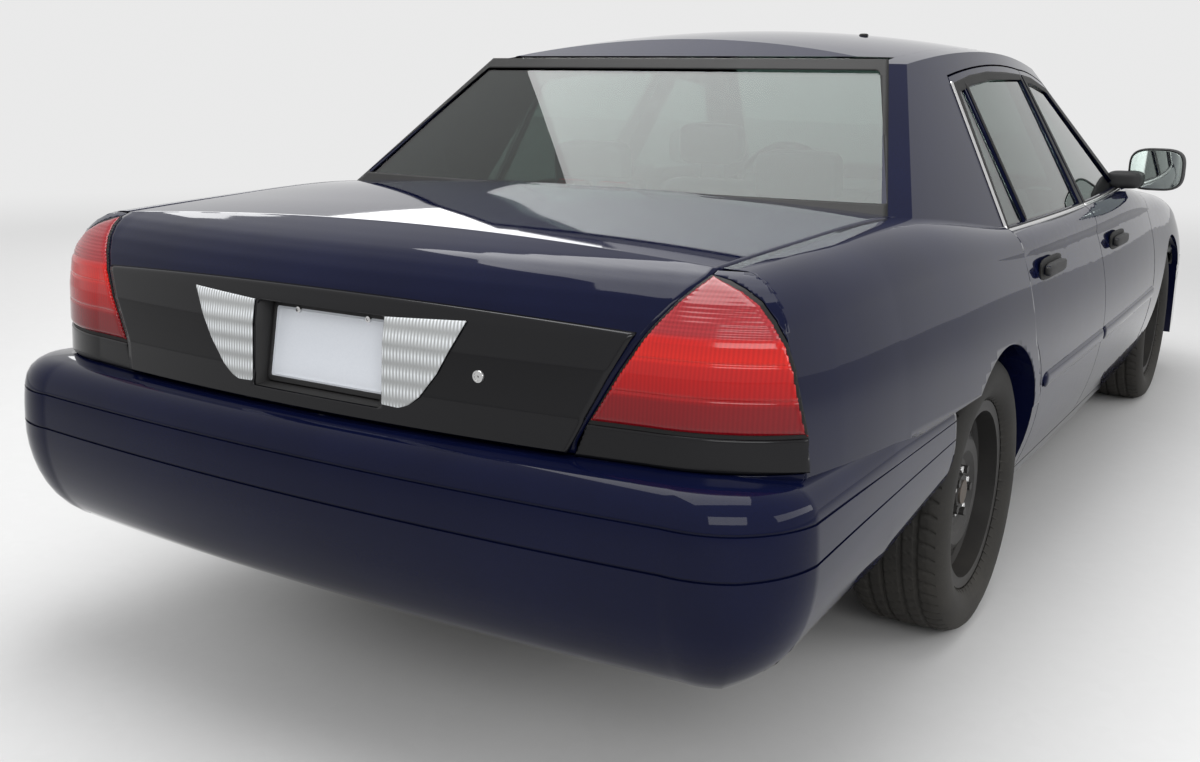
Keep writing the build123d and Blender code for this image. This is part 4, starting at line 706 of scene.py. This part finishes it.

# Wheels. Black pressed steel wheels with a raised ring round the hub, fourteen round cooling holes, five plated
# nuts and radial tyres with four ribs and cut shoulders. Road dust thickens on them towards the ground.
WALL_PROFILE = ((238, -96), (246, -106), (262, -116), (285, -121), (308, -118), (325, -111), (334, -102), (339, -92))
TREAD_HALF, TREAD_RADII = 84, (344.8, 342)
TREAD_GROOVES = (-58, -22, 22, 58)
AXLE_Z = 345
NUT_CIRCLE_R, NUT_STAND = 57.15, 44
NUT_PROFILE = ((13.2, 0), (13.2, 3), (11.2, 4), (10.6, 15), (9, 19), (5, 21.5), (0.01, 22))


def tyre_form(at):
    """The profile turned round the axle. The tread falls 7 mm in four grooves and in slanted shoulder cuts."""
    wall_r, wall_w = np.array(WALL_PROFILE, float).T
    fine = np.linspace(-TREAD_HALF, TREAD_HALF, 57)
    crown = np.interp(np.abs(fine), (0, TREAD_HALF), TREAD_RADII)
    angle = np.linspace(0, 2 * np.pi, 361)
    r = np.concatenate((wall_r, crown, wall_r[::-1]))[:, None] + 0 * angle
    w = np.concatenate((wall_w, fine, -wall_w[::-1]))[:, None] + 0 * angle
    dip = sum(np.clip(1.5 - np.abs(w - g) / 4.0, 0, 1) for g in TREAD_GROOVES)
    cuts = np.clip(2.5 * np.sin(60 * angle + w * 0.05) - 1.5, 0, 1) * (np.abs(np.abs(w) - 80) < 20)
    sipes = np.clip(3 * np.sin(60 * angle - w * 0.09) - 2.4, 0, 1) * (np.abs(w) < 56)
    r = r - 7 * np.clip(dip + 0.8 * cuts + 0.6 * sipes, 0, 1) * (np.abs(w) < 101)
    r = r - 0.9 * np.clip(1.5 - np.abs(np.abs(w) - 118.5) / 0.9, 0, 1) * (np.abs(r - 297) < 12)
    return (np.stack((r * np.cos(angle), w, r * np.sin(angle)), -1) + at).reshape(-1, 3), sheet(*r.shape)


for end, axle_x, track in (("front", 1622, 800), ("rear", REAR_AXLE[0], 833)):
    for side, sign in zip(SIDES, (1, -1)):
        middle = (axle_x, sign * track, AXLE_Z)
        piece(f"tyre_{end}_{side}_tread", (tyre_form(middle),), f"wheel_{end}_{side}", "tyre", tyre_rubber,
              inner=middle, soft=40, stands_for=f"tyre_{end}_{side}")
        for k in range(5):
            turn = math.radians(90 + 72 * k)
            spot = (axle_x + NUT_CIRCLE_R * math.cos(turn), sign * (track + NUT_STAND),
                    AXLE_Z + NUT_CIRCLE_R * math.sin(turn))
            nut = turned_form([(r, sign * h) for r, h in NUT_PROFILE], spot, "y", 6)
            piece(f"nut_{end}_{side}_{k}", (nut,), f"wheel_{end}_{side}", "steel", bright_metal,
                  inner=(spot[0], spot[1] - sign * 5, spot[2]), soft=25)

# Window trims. Each door window has a black rubber frame inside a bright rolled strip, and the strip runs on
# along the belt. The rear window is bonded in with a printed black border.
CABIN_SIDE = np.array((((900, 850), (-250, 905), (-1690, 862)), ((300, 600), (-380, 652), (-1130, 630))), float)
CABIN_BACK = np.array((((-1742, 821), (-1795, 0), (-1742, -821)), ((-1175, 600), (-1205, 0), (-1175, -600))), float)
CABIN_Z = (940, 1400)
WALL_OUT = np.array((0, 0.87, 0.48))


def wall_point(wall, u, z):
    """The cabin wall: the arc at the belt and the arc at the roof, at share u, joined by straight lines."""
    share = (z - CABIN_Z[0]) / (CABIN_Z[1] - CABIN_Z[0])
    low, high = (arc_between(*ring, u) for ring in wall)
    return np.stack((low[0] + share * (high[0] - low[0]), low[1] + share * (high[1] - low[1]), z + 0 * u), -1)


def side_wall(x, z, lift):
    """The point of the cabin's side at station x and height z, lifted outwards."""
    x, z = np.ravel(x).astype(float), np.ravel(z).astype(float)
    table = wall_point(CABIN_SIDE, np.linspace(0, 1, 400)[None], z[:, None])
    k = np.clip(np.argmin(np.abs(table[..., 0] - x[:, None]), 1), 1, 398)
    x0, x1, y0, y1 = (table[np.arange(len(k)), k + i, j] for j in (0, 1) for i in (-1, 1))
    return np.stack((x, y0 + (x - x0) / (x1 - x0) * (y1 - y0), z), -1) + lift * WALL_OUT


def strip_along(path, outward, width, rise, rounds=9):
    """A half-round strip along a path: an ellipse arc across it and outwards, closed by round ends."""
    over = unit(np.cross(unit(np.gradient(path, axis=0)), outward))
    walked = np.concatenate(((0,), np.cumsum(np.linalg.norm(np.diff(path, axis=0), axis=1))))
    taper = quarter_round(np.minimum(walked, walked[-1] - walked), width / 2)[:, None, None]
    angle = np.linspace(0, np.pi, rounds)[:, None]
    points = (path[:, None] + over[:, None] * (np.cos(angle) * width / 2) * (0.4 + 0.6 * taper)
              + np.asarray(outward, float) * (np.sin(angle) * rise) * taper)
    return points.reshape(-1, 3), sheet(len(path), rounds)


def close_ends(start, end, count):
    """A run from start to end whose steps shrink towards both, as the cosine does."""
    return start + (end - start) * (1 - np.cos(np.linspace(0, np.pi, count))) / 2


# door: the frame's outer edge and the window's edge in side view, front lower corner first
WINDOWS = {
    "front": (((856, 958), (362, 1326), (120, 1360), (-48, 1368), (-48, 958)),
              ((760, 974), (310, 1311), (120, 1334), (-17, 1342), (-17, 974))),
    "rear": (((-68, 958), (-68, 1368), (-300, 1372), (-520, 1371), (-720, 1358), (-888, 1336), (-1000, 958)),
             ((-109, 974), (-94, 1351), (-300, 1349), (-520, 1346), (-720, 1332), (-867, 1312), (-978, 974))),
}
BRIGHT_LINES = {"front": ((868, 965), (-46, 965)), "rear": ((-70, 965), (-1014, 965), (-905, 1338))}
for end, (outer, pane) in WINDOWS.items():
    ends_x = [p[0] for p in outer]
    frame_x, frame_z, faces = grid((min(ends_x) - 4, max(ends_x) + 4, 90), (950, 1380, 60))
    seal = trim((side_wall(frame_x, frame_z, 1.2), faces), lambda x, y, z: outline_distance(x, z, outer),
                lambda x, y, z: -outline_distance(x, z, pane) + 0.5)
    knots = np.array(BRIGHT_LINES[end], float)
    lengths = np.concatenate(((0,), np.cumsum(np.linalg.norm(np.diff(knots, axis=0), axis=1))))
    line_x, line_z = (np.interp(close_ends(0, lengths[-1], 140), lengths, k) for k in knots.T)
    bright = strip_along(side_wall(line_x, line_z, 1.0), WALL_OUT, 12, 5)
    pair(f"window_frame_{end}_{{}}", (seal,), end + "_door_{}", "black_trim", rubber, 1.0)
    pair(f"bright_strip_{end}_{{}}", (bright,), end + "_door_{}", "steel", bright_metal)
bar_z = np.linspace(976, 1340, 30)
bar = strip_along(side_wall(-801 + 0.04 * (bar_z - 976), bar_z, 1.0), WALL_OUT, 20, 3)
pair("division_bar_{}", (bar,), "rear_door_{}", "black_trim", rubber)
BACK_OUTLINE = ((-812, 1036), (812, 1036), (616, 1394), (-616, 1394))
back_u, back_z, faces = grid((0, 1, 120), (1030, 1398, 80))
border = trim((wall_point(CABIN_BACK, back_u, back_z).reshape(-1, 3) + (-0.9, 0, 0.9), faces),
              lambda x, y, z: outline_distance(y, z, BACK_OUTLINE) + 4,
              lambda x, y, z: -outline_distance(y, z, BACK_OUTLINE) - 32)
piece("rear_window_border", (border,), "body", "black_trim", rubber, 0.8)

# Side mouldings. A body-colour rubbing strip runs along both doors at knee height, thicker in its middle.
MOULDING_Z = 560
for end, ends_x in (("front", (1020, -48)), ("rear", (-66, -872))):
    line_x = close_ends(*ends_x, 60)
    line = np.stack((line_x, side_at(line_x, MOULDING_Z + 0 * line_x) + 0.5, MOULDING_Z + 0 * line_x), -1)
    pair(f"side_moulding_{end}_{{}}", (strip_along(line, (0, 1, 0), 44, 8, 15),), end + "_door_{}", "navy_paint",
         navy_paint)

# Door handles. Black lift handles bridge a dished bezel. Each is a rounded bar.
HANDLES = {"front": (205, 952, 838), "rear": (-800, 955, 858)}


def bent(k, power):
    """The sine or cosine k raised to two over the power, with its sign kept."""
    return np.sign(k) * np.abs(k) ** (2 / power)


def rounded_bar(middle, half, power=4.0, rows=40, columns=48):
    """A bar with rounded ends: a superellipsoid, whose sines and cosines are raised to two over the power."""
    v, w, faces = grid((-np.pi / 2, np.pi / 2, rows), (-np.pi, np.pi, columns))
    ring = bent(np.cos(v), power)
    form = np.stack((ring * bent(np.cos(w), power), ring * bent(np.sin(w), power), bent(np.sin(v), power)), -1)
    return (np.array(middle) + form * half).reshape(-1, 3), faces


for end, (x, y, z) in HANDLES.items():
    for name, stand, half, material in (("handle", 16, (102, 11.5, 17), black_plastic),
                                        ("handle_bezel", 1, (118, 6, 30), rubber)):
        middle = (x, y + stand, z)
        pair(f"{name}_{end}_{{}}", (rounded_bar(middle, half),), end + "_door_{}", "black_trim", material,
             inner=middle)

# Door mirrors. A rounded black shell on a foot at the window's corner holds a silvered glass, which is set
# back in the shell's rim.
MIRROR_AT, MIRROR_HALF, MIRROR_POWER = (818, 968, 1040), (62, 96, 77), 3.4
MIRROR_RIM, MIRROR_SET, MIRROR_GLASS_HALF = -34, -26, (90, 71)
mirror_glass = finish_of("mirror_glass", (0.45, 0.50, 0.48), (0.5, 0.55, 0.53), 20.0, 0.2, 0.03, 0.02,
                         Metallic=1.0)
mid_x, mid_y, mid_z = MIRROR_AT
shell = trim(rounded_bar(MIRROR_AT, MIRROR_HALF, MIRROR_POWER, 60, 72), lambda x, y, z: mid_x + MIRROR_RIM - x)
pair("mirror_shell_{}", (shell, rounded_bar((775, 868, 1000), (44, 60, 32))), "front_door_{}", "black_trim",
     black_plastic, 3.0, (mid_x, mid_y - 30, mid_z), stands_for="mirror_{}")
disc_y, disc_z, faces = grid((-1, 1, 60), (-1, 1, 50))
square = np.maximum(np.maximum(np.abs(disc_y), np.abs(disc_z)), 1e-6)
reach = (np.abs(disc_y) ** MIRROR_POWER + np.abs(disc_z) ** MIRROR_POWER) ** (1 / MIRROR_POWER) / square
disc_y, disc_z = disc_y / reach, disc_z / reach
glass = np.stack((mid_x + MIRROR_SET - 2 * (1 - disc_y**2), mid_y + disc_y * MIRROR_GLASS_HALF[0],
                  mid_z + disc_z * MIRROR_GLASS_HALF[1]), -1)
pair("mirror_glass_{}", ((glass, faces),), "front_door_{}", "clear_lens", mirror_glass, 2.0,
     (mid_x + 60, mid_y, mid_z))

# Seats. Foam cushions, backs and headrests are covered in grey cloth. Each crowns in its middle, pulls in
# between its corners, and has sewn channels across it. Plated posts carry the headrests, and grey plinths
# carry the cushions.


def pad_form(middle, half, lean, channels, rows, columns):
    """A stuffed pad: a superellipsoid that crowns, with shallow sewn channels, then leaned in side view."""
    form, faces = rounded_bar((0, 0, 0), (1, 1, 1), 5.0, rows, columns)
    x, y, z = (form * half).T
    y = y * (1 - 0.035 * (1 - form[:, 0] ** 2) * np.abs(form[:, 1]) ** 6)
    if channels:
        wave = np.abs(np.sin(form[:, 1] * np.pi * channels / 2)) ** 0.35
        x = x + (wave - 1) * 7 * np.sign(form[:, 0]) * np.clip(1.2 - np.abs(form[:, 2]), 0, 1)
    c, s = math.cos(lean), math.sin(lean)
    return np.stack((x * c - z * s, y, x * s + z * c), -1) + middle, faces


# pad: the CAD node that it stands for, middle, half sizes along its thickness, width and height, lean, channels
SEATS = {
    "cushion_front_{}": ("front_seats", (205, 395, 420), (78, 226, 258), -1.54, 4),
    "back_front_{}": ("front_seats", (-88, 395, 712), (52, 226, 272), 0.18, 4),
    "headrest_front_{}": ("front_seats", (-130, 395, 1105), (44, 122, 72), 0.1, 0),
    "bench_cushion": ("rear_seat", (-720, 0, 470), (62, 632, 244), -1.52, 8),
    "bench_back": ("rear_seat", (-1010, 0, 745), (50, 632, 226), 0.2, 8),
    "bench_headrest_{}": ("rear_seat", (-1060, 330, 1075), (44, 122, 72), 0.1, 0),
}
for name, (node, middle, half, lean, channels) in SEATS.items():
    form = pad_form(middle, half, lean, channels, 50, 68 if node == "front_seats" else 120)
    made = (pair if "{}" in name else piece)(name, (form,), "body", "grey_cloth", grey_cloth, 0.0, middle, 60,
                                             stands_for=node)
for row, (x, y, z) in (("front", (-128, 395, 1010)), ("rear", (-1055, 330, 985))):
    for k, step in enumerate((-45, 45)):
        pair(f"headrest_post_{row}_{{}}_{k}", (rounded_bar((x, y + step, z), (6, 6, 50), 4.0, 20, 24),), "body",
             "steel", bright_metal, inner=(x, y + step, z))
for row, middle, half in (("front", (205, 395, 333), (228, 185, 20)), ("rear", (-740, 400, 362), (190, 215, 48))):
    pair(f"seat_plinth_{row}_{{}}", (rounded_bar(middle, half, 8.0),), "body", "grey_trim", grey_plastic,
         inner=middle)

# High stop lamp. A low black housing behind the rear window holds two red cells.
for name, middle, half, slot, material in (
        ("stop_cell_0", (-1592, -58, 1062), (8, 50, 17), "red_lens", red_glow),
        ("stop_cell_1", (-1592, 58, 1062), (8, 50, 17), "red_lens", red_glow),
        ("stop_lamp_housing", (-1560, 0, 1058), (34, 122, 26), "black_trim", black_plastic)):
    piece(name, (rounded_bar(middle, half, 6.0),), "body", slot, material, inner=middle)

# Exhaust. A bent steel pipe runs from the engine under the floor, through a pressed silencer, over the axle and
# back to the right, where it ends out of sight behind the bumper.
PIPE_ROUTE = ((1320, -160, 271), (1150, -170, 200), (800, -235, 194), (500, -300, 194), (-100, -340, 198),
              (-500, -340, 198), (-860, -340, 196), (-1000, -334, 300), (-1100, -330, 410), (-1291, -325, 452),
              (-1460, -360, 410), (-1600, -450, 372), (-1760, -590, 348), (-2100, -600, 338), (-2470, -600, 334))
PIPE_R, PIPE_WALL = 28, 1.5
SILENCER_AT, SILENCER_HALF = (-320, -340, 235), (325, 122, 62)
knots = np.array(PIPE_ROUTE, float)
share = np.linspace(0, len(knots) - 1, 260)
first = np.clip(share.astype(int), 0, len(knots) - 2)
route = cubic(knots, np.gradient(knots, axis=0), first, (share - first)[:, None])
ahead = unit(np.gradient(route, axis=0))
over = unit(np.cross(ahead, (0, 0.2, 1.0)))
angle = np.linspace(0, 2 * np.pi, 25)[:, None]
tube = route[:, None] + PIPE_R * (over[:, None] * np.cos(angle) + np.cross(over, ahead)[:, None] * np.sin(angle))
for name, part, wall in (("exhaust_pipe", (tube, sheet(260, 25)), PIPE_WALL),
                         ("silencer", rounded_bar(SILENCER_AT, SILENCER_HALF, 5.0), 0.0)):
    piece(name, (part,), "body", "steel", pipe_steel, wall, SILENCER_AT, 60, "exhaust")

# Roof plugs. Two black rubber plugs close the holes where a roof fitting was taken off.
ROOF_TOP, ROOF_FALL = (-400, 1490), (12000, 6400)
PLUG_AT, PLUG_PROFILE = (-620, 330), ((0.01, 7), (9, 6.5), (13, 4), (14, 0))
for k, y in enumerate((PLUG_AT[1], -PLUG_AT[1])):
    roof_z = ROOF_TOP[1] - y**2 / ROOF_FALL[1] - (PLUG_AT[0] - ROOF_TOP[0]) ** 2 / ROOF_FALL[0]
    plug = turned_form(PLUG_PROFILE, (PLUG_AT[0], y, roof_z), "z", 24)
    piece(f"roof_plug_{k}", (plug,), "body", "black_trim", rubber, inner=(0, 0, 0))

# Studio. A pale grey floor, a pale surround and large soft lamps overhead and behind the right side.
# The surround is seen by the camera, by gloss and through glass, and lights the car only softly.
FLOOR_HALF, FLOOR_FADE = 30.0, (3.5, 13.0)
SURROUND = 0.82
floor_mesh = bpy.data.meshes.new("studio_floor")
corners = np.array([(-1, -1, 0), (1, -1, 0), (1, 1, 0), (-1, 1, 0)]) * FLOOR_HALF
floor_mesh.from_pydata(corners.tolist(), [], [(0, 1, 2, 3)])
floor = bpy.data.objects.new("studio_floor", floor_mesh)
scene.collection.objects.link(floor)
floor_finish = finish_of("floor_finish", 0.56, 0.60, 30.0, 0.5, 0.75, 0.05)
floor_mesh.materials.append(floor_finish)
tree = floor_finish.node_tree
far = add_node(tree, "VectorMath", {0: place_in(tree)}, operation="LENGTH").outputs["Value"]
fade = add_node(tree, "MapRange", {"Value": far}, From_Min=FLOOR_FADE[0], From_Max=FLOOR_FADE[1], clamp=True,
                interpolation_type="SMOOTHSTEP").outputs[0]
share = maths(tree, "MULTIPLY", fade, add_node(tree, "LightPath").outputs["Is Camera Ray"])
glow = add_node(tree, "Emission", Color=(1, 1, 1, 1), Strength=SURROUND).outputs[0]
mixed = add_node(tree, "MixShader", {0: share, 1: tree.nodes["Principled BSDF"].outputs[0], 2: glow})
tree.links.new(mixed.outputs[0], tree.nodes["Material Output"].inputs["Surface"])
world = bpy.data.worlds.new("studio")
scene.world = world
world.use_nodes = True
tree = world.node_tree
ray = add_node(tree, "LightPath").outputs
seen = maths(tree, "MAXIMUM", ray["Is Camera Ray"], ray["Is Transmission Ray"])
seen = maths(tree, "MAXIMUM", seen, ray["Is Glossy Ray"])
height = add_node(tree, "SeparateXYZ", {"Vector": add_node(tree, "TexCoord").outputs["Generated"]}).outputs["Z"]
rise = add_node(tree, "MapRange", {"Value": height}, From_Min=-0.05, From_Max=0.35, To_Min=0.25, To_Max=0.9)
sky = tree.nodes["Background"]
sky.inputs["Color"].default_value = (1, 1, 1, 1)
tree.links.new(mix(tree, seen, rise.outputs[0], SURROUND, "FLOAT"), sky.inputs["Strength"])
# lamp: place, aim, size, power
LAMPS = {
    "top_lamp": ((-1.0, 0.5, 5.0), (-0.6, 0.0, 0.6), (6.0, 3.2), 260.0),
    "rear_lamp": ((-6.5, -3.5, 3.4), (-1.5, 0.0, 0.8), (3.5, 2.0), 110.0),
    "side_lamp": ((0.0, -6.5, 3.0), (0.0, 0.0, 0.8), (6.0, 1.6), 110.0),
    "far_lamp": ((4.0, 6.0, 3.6), (0.0, 0.0, 0.8), (5.0, 2.0), 110.0),
}
for name, (spot, aim, size, power) in LAMPS.items():
    lamp_data = bpy.data.lights.new(name, "AREA")
    lamp_data.shape = "RECTANGLE"
    lamp_data.size, lamp_data.size_y = size
    lamp_data.energy = power
    lamp = bpy.data.objects.new(name, lamp_data)
    scene.collection.objects.link(lamp)
    turn = (Vector(aim) - Vector(spot)).to_track_quat("-Z", "Y").to_matrix().to_4x4()
    lamp.matrix_world = Matrix.Translation(spot) @ turn
scene.view_settings.view_transform = "Standard"

bpy.context.view_layer.update()
